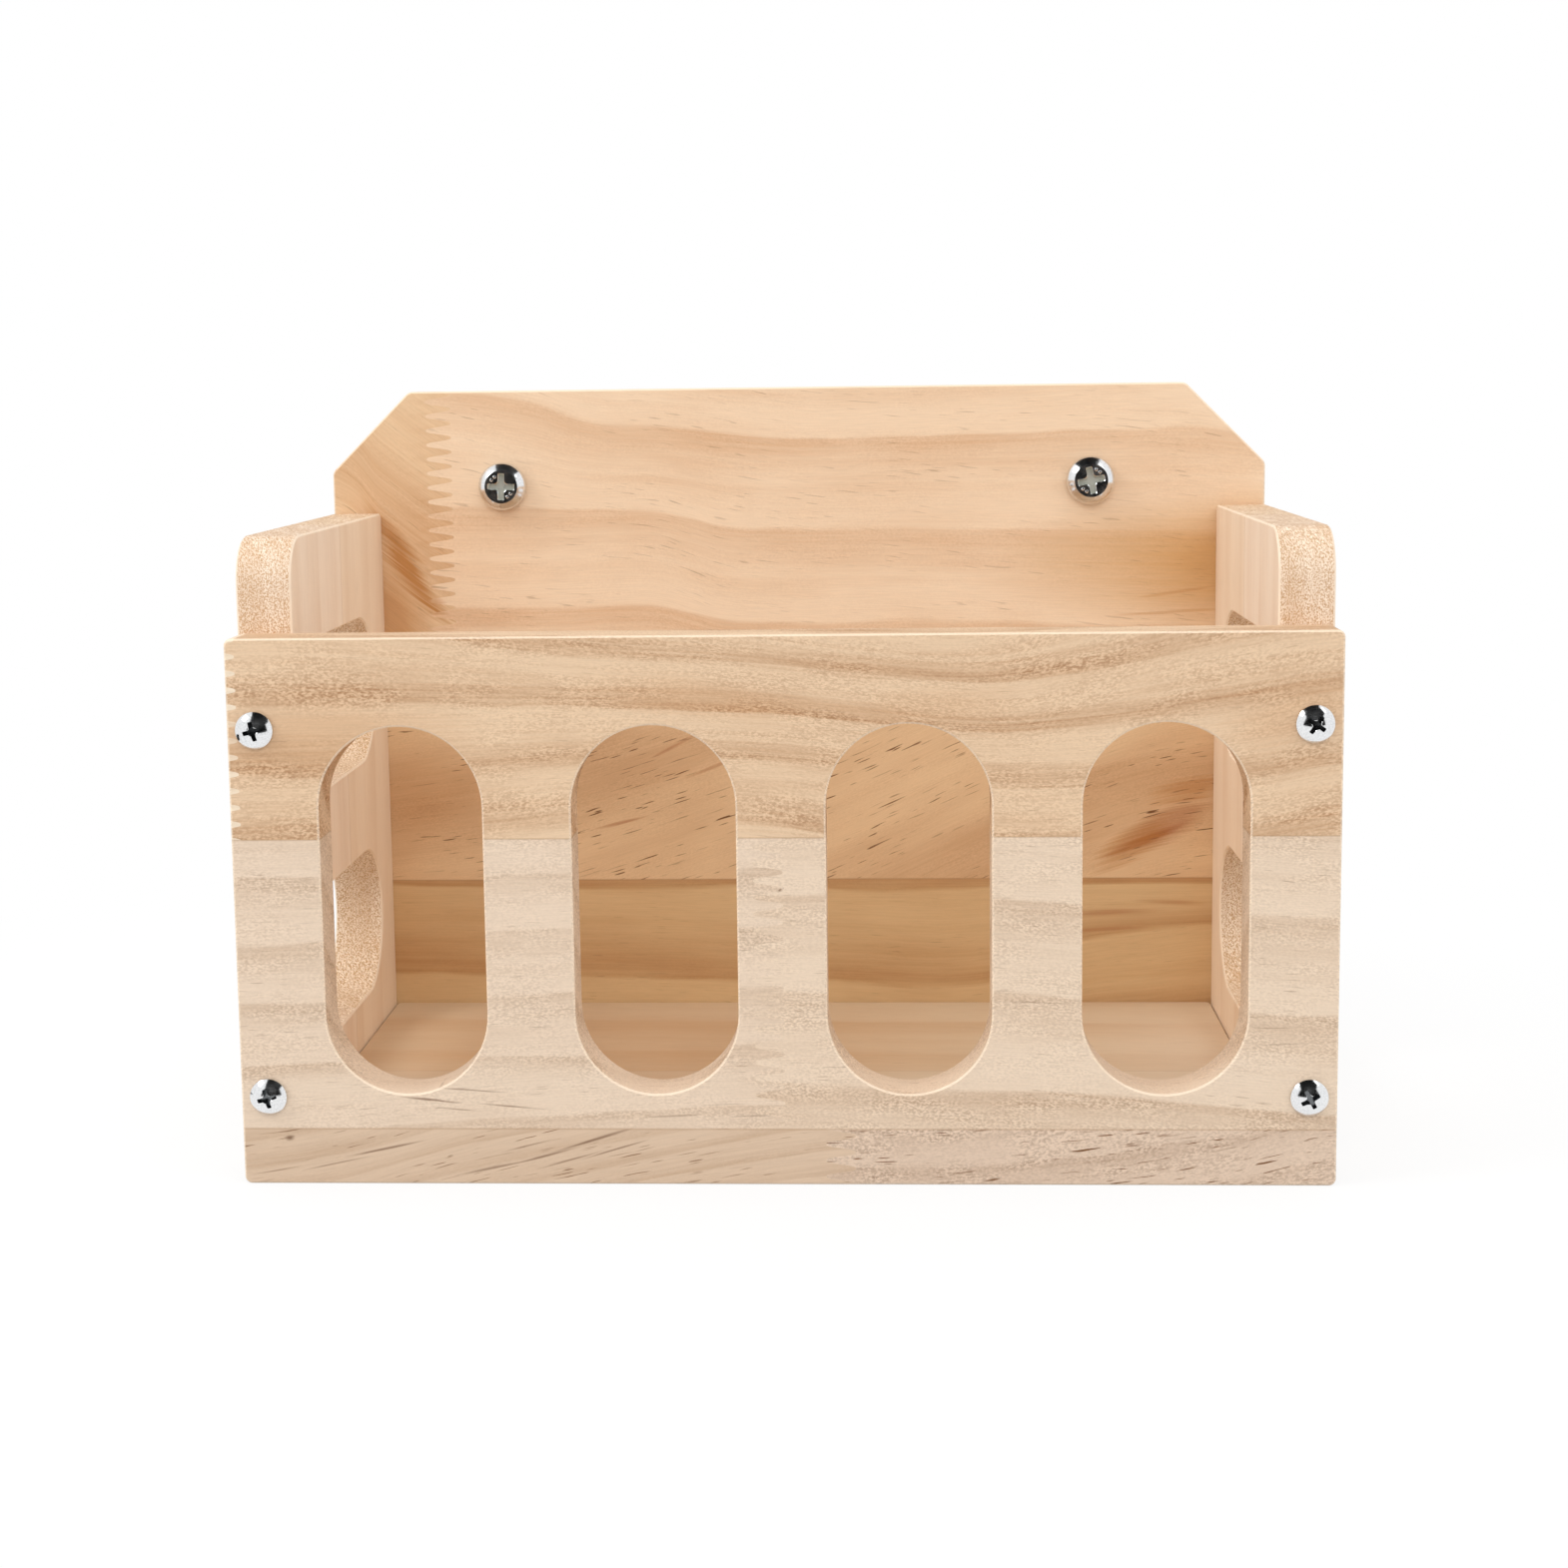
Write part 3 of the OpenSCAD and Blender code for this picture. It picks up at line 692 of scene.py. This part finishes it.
def tidy_faces(piece, reach=DOUBLED, fill=False):
    """Joins doubled points, closes open ends where asked and turns the faces outwards."""
    bm = bmesh.new()
    bm.from_mesh(piece.data)
    bmesh.ops.remove_doubles(bm, verts=bm.verts, dist=reach)
    bmesh.ops.dissolve_degenerate(bm, edges=bm.edges, dist=reach)
    if fill:
        bmesh.ops.holes_fill(bm, edges=[e for e in bm.edges if e.is_boundary], sides=0)
    bmesh.ops.recalc_face_normals(bm, faces=bm.faces)
    bm.to_mesh(piece.data)
    bm.free()
    return piece


def on_circle(radius, share, height):
    """A point at this share of a full turn round the Z axis."""
    return radius * math.cos(math.tau * share), radius * math.sin(math.tau * share), height


def revolve(profile, steps=72):
    """Points and faces of a closed (radius, height) profile turned round the Z axis.

    A profile that starts and ends on the axis makes a solid, any other one a ring.
    """
    verts, faces, rows = [], [], []
    for radius, height in profile:
        if radius == 0:
            rows.append([len(verts)] * steps)
            verts.append((0, 0, height))
        else:
            rows.append([len(verts) + i for i in range(steps)])
            verts += [on_circle(radius, i / steps, height) for i in range(steps)]
    if profile[0][0] > 0:
        rows.append(rows[0])
    for a, b in zip(rows, rows[1:]):
        for i in range(steps):
            j = (i + 1) % steps
            faces.append(tuple(dict.fromkeys((a[i], a[j], b[j], b[i]))))
    return verts, faces


def arc(centre, radius, start, end, steps=8):
    """Points of an arc in a profile, from one angle in degrees to another."""
    angles = [math.radians(start + (end - start) * i / steps) for i in range(steps + 1)]
    return [(centre[0] + radius * math.cos(a), centre[1] + radius * math.sin(a)) for a in angles]


def helix(radius, root, pitch, start, end, point, steps=36):
    """Points and faces of a threaded rod along Z that tapers to a point at its far end.

    Crests and roots have small flats, and the first and last turns are cut off square.
    """
    shape = [(0.0, root), (0.12, root), (0.44, radius), (0.56, radius), (0.88, root)]
    verts, rows, faces = [], [], []
    for turn in range(-1, int((end - start) / pitch) + 3):
        for share, r in shape:
            rows.append([len(verts) + i for i in range(steps)])
            for i in range(steps):
                z = min(max(start + (turn + share + i / steps) * pitch, start), end)
                fade = root + (radius - root) * 2 * min(z - start, end - z) / point
                reach = min(r, fade, radius - max(0.0, z - (end - point)))
                verts.append(on_circle(reach, i / steps, z))
    for a, b in zip(rows, rows[1:]):
        faces += [(a[i], a[i + 1], b[i + 1], b[i]) for i in range(steps - 1)]
    # The seam: the last point of a row meets the first of the row one turn further on
    further = rows[len(shape):]
    for a, b, c, d in zip(rows, rows[1:], further, further[1:]):
        faces.append((a[-1], c[0], d[0], b[-1]))
    return verts, faces


def cross_cutter(name, width, depth, rim, place):
    """The tapered cross that a punch presses into a head, with a small flare at its rim."""
    # Depth, growth all round, and the shares of the cross's reach and of its wings' width
    levels = ((-0.2 * MM, rim + 0.2 * MM, 1.0, 1.0), (0, rim, 1.0, 1.0), (rim, 0, 1.0, 1.0),
              (0.6 * depth, 0, 0.96, 0.94), (depth, 0, 0.88, 0.8))
    verts, faces = [], []
    for z, grow, reach_share, wing_share in levels:
        reach = width / 2 * reach_share + grow
        wing = width * 0.11 * wing_share + grow
        web = width * 0.12 * wing_share
        outline = [(reach - 0.3 * wing, -wing), (reach, -wing * 0.7), (reach, wing * 0.7),
                   (reach - 0.3 * wing, wing)] + arc((wing + web, wing + web), web, 270, 180, 4)
        for quarter in range(4):
            turn = Matrix.Rotation(math.radians(90 * quarter), 2)
            verts += [(*(turn @ Vector(point)), z) for point in outline]
    ring = 4 * len(outline)
    for level in range(len(levels) - 1):
        for i in range(ring):
            a, b = level * ring + i, level * ring + (i + 1) % ring
            faces.append((a, b, b + ring, a + ring))
    faces += [tuple(range(ring)), tuple(range((len(levels) - 1) * ring, len(levels) * ring))]
    cutter = tidy_faces(new_piece(name, verts, faces, place))
    # The flare is as bright as the head's face, and the walls and the floor are duller; in the wood screws
    # they are also darker, as painted shade in the recess
    axis = place.to_3x3() @ Vector((0, 0, 1))
    for face in cutter.data.polygons:
        face.material_index = 0 if 0.5 < abs(face.normal.dot(axis)) < 0.9 else 1
    return cutter


def carve(piece, cutter):
    """Takes the cutter's form out of a piece and drops the cutter."""
    for part in (piece, cutter):
        while len(part.data.materials) < 2:
            part.data.materials.append(None)
    change = piece.modifiers.new("carve", "BOOLEAN")
    change.operation, change.solver, change.object = "DIFFERENCE", "EXACT", cutter
    change.material_mode = "INDEX"
    settle(piece)
    bpy.data.objects.remove(cutter)
    return piece


def settle(piece):
    """Applies a piece's modifiers to its mesh."""
    depsgraph = bpy.context.evaluated_depsgraph_get()
    mesh = bpy.data.meshes.new_from_object(piece.evaluated_get(depsgraph))
    piece.modifiers.clear()
    piece.data = mesh
    return piece


def finish_piece(piece, materials, body, node, angle=30):
    """Shades a piece, gives it its materials and hands it to the body that carries it."""
    for number, material in enumerate(materials):
        if number < len(piece.data.materials):
            piece.data.materials[number] = material
        else:
            piece.data.materials.append(material)
    piece.data.shade_smooth()
    piece.data.set_sharp_from_angle(angle=math.radians(angle))
    even = piece.modifiers.new("even_normals", "WEIGHTED_NORMAL")
    even.keep_sharp, even.weight = True, 100
    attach(piece, body)
    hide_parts(node)


def join(name, pieces):
    """One object from several, which are dropped."""
    bm = bmesh.new()
    for piece in pieces:
        piece.data.transform(piece.matrix_world)
        bm.from_mesh(piece.data)
    mesh = bpy.data.meshes.new(name)
    bm.to_mesh(mesh)
    bm.free()
    for piece in pieces:
        bpy.data.objects.remove(piece)
    return new_object(name, mesh)


def recessed_head(name, profile, tall, recess, depth, rim, place):
    """A head turned from its profile, with the cross recess pressed into its top."""
    head = tidy_faces(new_piece(name + "_head", *revolve([(0, 0)] + profile + [(0, -tall)]), place))
    return carve(head, cross_cutter(name + "_punch", recess, depth, rim,
                                    place @ Matrix.Translation((0, 0, -tall))))


def wood_screw_head(name, sizes, place):
    """A wood screw's domed head with its cross recess; the rest of it is hidden in the boards."""
    radius, tall = sizes.head / 2, sizes.head_height
    rise = tall - sizes.head_side
    ball = (radius ** 2 + rise ** 2) / (2 * rise)
    spread = math.degrees(math.asin(radius / ball))
    dome = [(x, -z) for x, z in arc((0, tall - ball), ball, 90 - spread, 90, 12)[:-1]]
    profile = [(radius - 0.15 * MM, 0), (radius, -0.15 * MM)] + dome
    return recessed_head(name, profile, tall, sizes.recess, sizes.recess_depth, 0.18 * MM, place)


def screw_places(node, radius):
    """Where a row of wood screws meets the boards' faces, with Z along each screw."""
    low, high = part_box(node)
    inner, outer = low + Vector([radius] * 3), high - Vector([radius] * 3)
    if node == "floor_screws":
        return [Matrix.Translation((x, y, inner.z)) @ turned(tilt, "Y")
                for x, tilt in ((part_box("left_side_board")[0].x, 90),
                                (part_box("right_side_board")[1].x, -90))
                for y in (inner.y, outer.y)]
    y, tilt = ((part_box("front_board")[0].y, -90) if node == "front_screws"
               else (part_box("back_board")[1].y, 90))
    return [Matrix.Translation((x, y, z)) @ turned(tilt, "X")
            for x in (inner.x, outer.x) for z in (inner.z, outer.z)]


# How far each screw, bolt and wing nut was turned when it got tight, in degrees
SCREW_TURNS = {"front_screws": (75, 75, 62, 35), "back_screws": (70, 20, 48, 5),
               "floor_screws": (70, 20, 48, 5)}
BOLT_TURNS = {"left": 2, "right": 79}
WING_TURNS = {"left": 28, "right": -35}
PIP_TURNS = (34, 56, 214, 236)    # pairs of pips that the header leaves between a recess's wings


class HAYFEEDER_OT_wood_screws(bpy.types.Operator):
    """Builds the wood screws in the front board, the back board and the floor"""
    bl_idname = "hay_feeder.wood_screws"
    bl_label = "Wood screws"

    def execute(self, context):
        sizes = context.scene.hay_screws
        zinc = (zinc_plated_steel("zinc_plated_screw", "#F1F2F3", 0.13, 0.35),
                # The screws' recess metal is much darker than the head's, as painted shade in the recess
                zinc_plated_steel("zinc_plated_screw_recess", "#5E6163", 0.2, 0.3))
        for node, turns in SCREW_TURNS.items():
            places = screw_places(node, sizes.head / 2)
            screws = [wood_screw_head(f"{node}_{number}", sizes, place @ turned(turn))
                      for number, (place, turn) in enumerate(zip(places, turns))]
            finish_piece(join(node.replace("screws", "wood_screws"), screws), zinc, "box", node)
        return {"FINISHED"}


def bolt_place(side, y):
    """A bolt's own frame at a depth: Z along the bolt, away from its head."""
    low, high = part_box(side + "_mounting_bolt")
    return Matrix.Translation(((low.x + high.x) / 2, y, (low.z + high.z) / 2)) @ turned(-90, "X")


def bolt_head(side, sizes, place):
    """A clamp bolt's head, whose wide bevel swells a little between its side and its flat top."""
    r, tall, flat, level = sizes.head / 2, sizes.head_height, sizes.head_flat / 2, sizes.head_side
    profile = [(r - 0.3 * MM, 0), (r, -0.3 * MM), (r, 0.35 * MM - level),
               (r - 0.03 * MM, 0.1 * MM - level)]
    for share in (i / 12 for i in range(1, 13)):
        swell = 0.5 * MM * share * (1 - share)
        profile.append((r + (flat - r) * share, -level + (level - tall) * share - swell))
    return recessed_head(side, profile, tall, sizes.recess, sizes.recess_depth, 0.12 * MM, place)


def pip(side, place):
    """One small rounded pip on a bolt's head."""
    x, y, z = 0.4 * MM, 0.375 * MM, 0.25 * MM
    verts = [(i * x, j * y, k * z) for i in (-1, 1) for j in (-1, 1) for k in (-1, 1)]
    faces = [(0, 1, 3, 2), (4, 6, 7, 5), (0, 4, 5, 1), (2, 3, 7, 6), (0, 2, 6, 4), (1, 5, 7, 3)]
    piece = tidy_faces(new_piece(side + "_pip", verts, faces, place))
    soften = piece.modifiers.new("soften", "BEVEL")
    soften.width, soften.segments, soften.limit_method = 0.22 * MM, 4, "ANGLE"
    return settle(piece)


class HAYFEEDER_OT_clamp_bolts(bpy.types.Operator):
    """Builds the two bolts that clamp the box to a cage wall"""
    bl_idname = "hay_feeder.clamp_bolts"
    bl_label = "Clamp bolts"

    def execute(self, context):
        sizes = context.scene.hay_clamp
        zinc = (zinc_plated_steel("zinc_plated_bolt", "#F1F2F3", 0.16, 0.5),
                zinc_plated_steel("zinc_plated_bolt_recess", "#D6D9CE", 0.34, 0.3, 0.4, 0.1),
                zinc_plated_steel("zinc_plated_thread", "#A9ADB1", 0.3, 0.5))
        radius, tall = sizes.thread / 2, sizes.head_height
        for side in ("left", "right"):
            low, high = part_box(side + "_mounting_bolt")
            place = bolt_place(side, low.y + tall) @ turned(BOLT_TURNS[side])
            thread = helix(radius, radius - 0.31 * MM, sizes.pitch, -0.1 * MM,
                           high.y - low.y - tall, 0.8 * MM)
            rod = tidy_faces(new_piece(side + "_rod", *thread, place), 10 * DOUBLED, fill=True)
            for face in rod.data.polygons:
                face.material_index = len(zinc) - 1
            pips = [pip(side, place @ turned(turn) @ Matrix.Translation((2.95 * MM, 0, -tall)))
                    for turn in PIP_TURNS]
            piece = join(side + "_clamp_bolt", [bolt_head(side, sizes, place), rod] + pips)
            finish_piece(piece, zinc, side + "_bolt", side + "_mounting_bolt")
        return {"FINISHED"}


class HAYFEEDER_OT_clamp_washers(bpy.types.Operator):
    """Builds the two large washers behind the back board, rolled over where the punch met them"""
    bl_idname = "hay_feeder.clamp_washers"
    bl_label = "Clamp washers"

    def execute(self, context):
        sizes = context.scene.hay_clamp
        zinc = zinc_plated_steel("zinc_plated_washer", "#BFC3C8", 0.3, 0.6)
        hole, outer = sizes.thread / 2 + 0.2 * MM, sizes.washer / 2
        roll, crisp = 0.45 * MM, 0.1 * MM
        for side in ("left", "right"):
            low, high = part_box(side + "_clamp_washer")
            top = high.y - low.y - roll
            profile = [(hole + crisp, 0), (outer - crisp, 0), (outer, crisp), (outer, top)]
            profile += arc((outer - roll, top), roll, 0, 90, 5)[1:]
            profile += arc((hole + roll, top), roll, 90, 180, 5) + [(hole, crisp)]
            piece = new_piece(side + "_washer", *revolve(profile, 96), bolt_place(side, low.y))
            finish_piece(tidy_faces(piece), [zinc], side + "_washer", side + "_clamp_washer")
        return {"FINISHED"}


# A wing nut's web from hub to ear: along the ear, up the hub and half as thick, in millimetres
WEB = ((2.0, 0.5, 1.7), (5.6, 0.5, 1.5), (14.2, 6.6, 0.95), (9.4, 13.6, 0.9), (4.4, 7.4, 1.3),
       (2.0, 7.4, 1.7))


def cast_wing_nut(name, sizes, tall, place):
    """A rounded-wing nut: a tapered hub with two thumb ears, cast in one and then tapped."""
    hub_tall, hub_foot, hub_top = 8.0 * MM, 6.35 * MM, 4.85 * MM
    hub = revolve([(0, 0), (hub_foot, 0), (hub_top, hub_tall), (0, hub_tall)], 64)
    parts = [new_piece(name + "_hub", *hub)]
    ear_r, half, skin = 5.1 * MM, 1.0 * MM, 0.1 * MM
    centre = Vector((sizes.wing_span / 2 - ear_r - skin, 0, tall - ear_r - skin))
    ear = revolve([(0, -half)] + arc((ear_r - half, 0), half, -90, 90) + [(0, half)], 48)
    web = [(x * MM, s * thick * MM, z * MM) for s in (-1, 1) for x, z, thick in WEB]
    ring = len(WEB)
    faces = [tuple(range(ring)), tuple(range(ring, 2 * ring))]
    faces += [(i, (i + 1) % ring, ring + (i + 1) % ring, ring + i) for i in range(ring)]
    for spin in (turned(0), turned(180)):
        stand = spin @ Matrix.Translation(centre) @ turned(90, "X")
        parts.append(tidy_faces(new_piece(name + "_ear", *ear, stand)))
        parts.append(tidy_faces(new_piece(name + "_web", web, faces, spin)))
    piece = join(name, parts)
    melt = piece.modifiers.new("melt", "REMESH")
    melt.mode, melt.voxel_size = "VOXEL", sizes.cast_step
    relax = piece.modifiers.new("relax", "SMOOTH")
    relax.factor, relax.iterations = 0.6, 9
    settle(piece)
    tap, mouth = 3.05 * MM, 3.6 * MM
    tapped = revolve([(0, -1 * MM), (3.55 * MM, -1 * MM), (3.55 * MM, 0), (tap, 0.5 * MM),
                      (tap, hub_tall - 0.5 * MM), (mouth, hub_tall + 0.1 * MM),
                      (mouth, hub_tall + 1 * MM), (0, hub_tall + 1 * MM)], 64)
    carve(piece, tidy_faces(new_piece(name + "_tap", *tapped)))
    piece.data.transform(place)
    return piece


class HAYFEEDER_OT_wing_nuts(bpy.types.Operator):
    """Builds the two cast wing nuts"""
    bl_idname = "hay_feeder.wing_nuts"
    bl_label = "Wing nuts"

    def execute(self, context):
        zinc = zinc_plated_steel("zinc_plated_wing_nut", "#B9BDC2", 0.34, 0.8)
        for side in ("left", "right"):
            low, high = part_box(side + "_wing_nut")
            place = bolt_place(side, low.y) @ turned(WING_TURNS[side])
            piece = cast_wing_nut(side + "_cast_wing_nut", context.scene.hay_clamp,
                                  high.y - low.y, place)
            finish_piece(piece, [zinc, zinc], side + "_nut", side + "_wing_nut", 50)
        return {"FINISHED"}


# Studio

# Where the photo was taken from, fitted to its edges and corners
CAMERA_AT = Vector((21.661, -580.185, 171.414)) * MM
CAMERA_PITCH, CAMERA_YAW, CAMERA_ROLL = (math.radians(a) for a in (7.552, -2.793, -0.746))
CAMERA_SHIFT = (0.01402, -0.04575)

# Dark cards that only polished metal reflects, as the dim room round the lamps would look
CARDS = {
    "floor_flag": ((-0.35, -0.42, 0.002), (0.35, -0.42, 0.002), (0.75, -0.64, 0.0),
                   (-0.6, -0.64, 0.0)),
    "left_flag": ((-0.27, -0.05, 0.002), (-0.27, 0.02, 0.002), (-0.45, 0.02, 0.002),
                  (-0.45, -0.1, 0.002)),
    "front_flag": ((-0.6, -0.64, 0.0), (0.75, -0.64, 0.0), (0.6, -0.64, 0.46),
                   (-0.38, -0.64, 0.46)),
    "top_flag": ((-0.38, -0.64, 0.46), (0.6, -0.64, 0.46), (0.5, -0.3, 0.46), (0.24, -0.14, 0.46),
                 (0.24, 0.3, 0.46), (-0.2, 0.3, 0.46), (-0.22, -0.2, 0.46)),
    "back_flag": ((-0.8, 0.7, 0.0), (0.8, 0.7, 0.0), (0.8, 0.7, 0.4), (-0.8, 0.7, 0.4)),
}
LAMPS = {"left": (0.5, (-1.1, -0.45, 1.05)), "right": (0.6, (0.85, -0.6, 1.2)),
         "front": (0.85, (0.1, -1.35, 0.75))}    # size and place, in metres
LAMPS_AIM = Vector((0, 0, 0.07))


def matt_white_sweep():
    """A matt white sweep that keeps the box's shadow near it and runs out to plain white."""
    material, put = new_material("matt_white_sweep")
    away = put("VectorMath.LENGTH", put("TexCoord").outputs["Object"])
    far = put("MapRange", away, 0.14, 0.34, 0.8, 1.0, interpolation_type="SMOOTHSTEP")
    rays = put("LightPath").outputs
    seen = put("Math.MAXIMUM", rays["Is Camera Ray"], rays["Is Glossy Ray"])
    bounce = put("MapRange", rays["Is Diffuse Ray"], 0.0, 1.0, 0.9, 0.6)
    put("OutputMaterial", put("MixShader", put("*", far, seen),
                              put("BsdfDiffuse", bounce), put("Emission", (1, 1, 1, 1), 1.0)))
    return material


def matt_black_paper():
    """Matt black paper, which takes the shine out of the metal that faces it."""
    material, put = new_material("matt_black_paper")
    put("OutputMaterial", put("BsdfDiffuse", linear("#0C0C0C")))
    return material


def white_room(ambient):
    """A world that looks plain white and lights the box softly, most from above."""
    world = bpy.data.worlds.new("white_room")
    put = empty_tree(world)
    rays = put("LightPath").outputs
    seen = put("Math.MAXIMUM", rays["Is Camera Ray"], rays["Is Glossy Ray"])
    seen = put("Math.MAXIMUM", seen, rays["Is Transmission Ray"])
    upward = put("SeparateXYZ", put("TexCoord").outputs["Generated"]).outputs["Z"]
    soft = put("MapRange", upward, 0.0, 1.0, ambient * 0.8, ambient * 1.4)
    put("OutputWorld", put("Background", (1, 1, 1, 1), put("Mix.FLOAT", seen, soft, 1.0)))
    return world


def photo_camera(lens):
    """The camera that took the photo."""
    camera = bpy.data.cameras.new("photo_camera")
    camera.sensor_width, camera.lens, camera.clip_start = 36.0, lens, 0.01
    camera.shift_x, camera.shift_y = CAMERA_SHIFT
    yaw, pitch, roll = CAMERA_YAW, CAMERA_PITCH, CAMERA_ROLL
    ahead = Vector((math.sin(yaw) * math.cos(pitch), math.cos(yaw) * math.cos(pitch),
                    -math.sin(pitch)))
    right = Vector((math.cos(yaw), -math.sin(yaw), 0))
    up = right.cross(ahead)
    rolled = (math.cos(roll) * right + math.sin(roll) * up,
              math.cos(roll) * up - math.sin(roll) * right)
    holder = new_object("photo_camera", camera)
    holder.matrix_world = Matrix((*rolled, -ahead)).transposed().to_4x4()
    holder.location = CAMERA_AT
    return holder


class HAYFEEDER_OT_studio(bpy.types.Operator):
    """Sets up the white floor, the soft lamps, their dark cards and the camera"""
    bl_idname = "hay_feeder.studio"
    bl_label = "Studio"

    def execute(self, context):
        scene, setup = context.scene, context.scene.hay_studio
        r = setup.floor_radius
        floor = new_piece("floor_sweep", [(-r, -r, 0), (r, -r, 0), (r, r, 0), (-r, r, 0)],
                          [(0, 1, 2, 3)])
        floor.data.materials.append(matt_white_sweep())
        floor.location.z = -0.05 * MM

        black = matt_black_paper()
        for name, corners in CARDS.items():
            card = new_piece(name, corners, [tuple(range(len(corners)))])
            card.data.materials.append(black)
            card.visible_camera = card.visible_diffuse = card.visible_shadow = False
            card.visible_transmission = False

        for side, (size, place) in LAMPS.items():
            lamp = bpy.data.lights.new(side + "_lamp", "AREA")
            lamp.energy, lamp.size = getattr(setup, side), size
            holder = new_object(side + "_lamp", lamp)
            holder.location = place
            holder.rotation_euler = (LAMPS_AIM - Vector(place)).to_track_quat("-Z", "Y").to_euler()

        scene.world = white_room(setup.ambient)
        scene.camera = photo_camera(setup.lens)
        scene.view_settings.view_transform = "Standard"
        return {"FINISHED"}


class HAYFEEDER_PT_panel(bpy.types.Panel):
    """The steps that dress the hay feeder box, with their sizes"""
    bl_idname = "HAYFEEDER_PT_panel"
    bl_label = "Hay feeder box"
    bl_space_type = "VIEW_3D"
    bl_region_type = "UI"
    bl_category = "Hay feeder"

    def draw(self, context):
        for group in GROUPS:
            box = self.layout.box()
            for name in getattr(context.scene, group).bl_rna.properties.keys():
                if name not in ("rna_type", "name"):
                    box.prop(getattr(context.scene, group), name)
        for step in STEPS:
            self.layout.operator(step.bl_idname)


GROUPS = {
    "hay_pine": PineFinish,
    "hay_screws": ScrewSizes,
    "hay_clamp": ClampSizes,
    "hay_studio": StudioSetup,
}
STEPS = (
    HAYFEEDER_OT_studio,
    HAYFEEDER_OT_front_board,
    HAYFEEDER_OT_back_board,
    HAYFEEDER_OT_side_boards,
    HAYFEEDER_OT_floor_board,
    HAYFEEDER_OT_wood_screws,
    HAYFEEDER_OT_clamp_bolts,
    HAYFEEDER_OT_clamp_washers,
    HAYFEEDER_OT_wing_nuts,
)
CLASSES = (*GROUPS.values(), *STEPS, HAYFEEDER_PT_panel)


def register():
    for item in CLASSES:
        bpy.utils.register_class(item)
    for name, group in GROUPS.items():
        setattr(bpy.types.Scene, name, PointerProperty(type=group))


def unregister():
    for name in GROUPS:
        delattr(bpy.types.Scene, name)
    for item in reversed(CLASSES):
        bpy.utils.unregister_class(item)


def main():
    register()
    for step in STEPS:
        category, name = step.bl_idname.split(".")
        getattr(getattr(bpy.ops, category), name)()


if __name__ == "__main__":
    main()
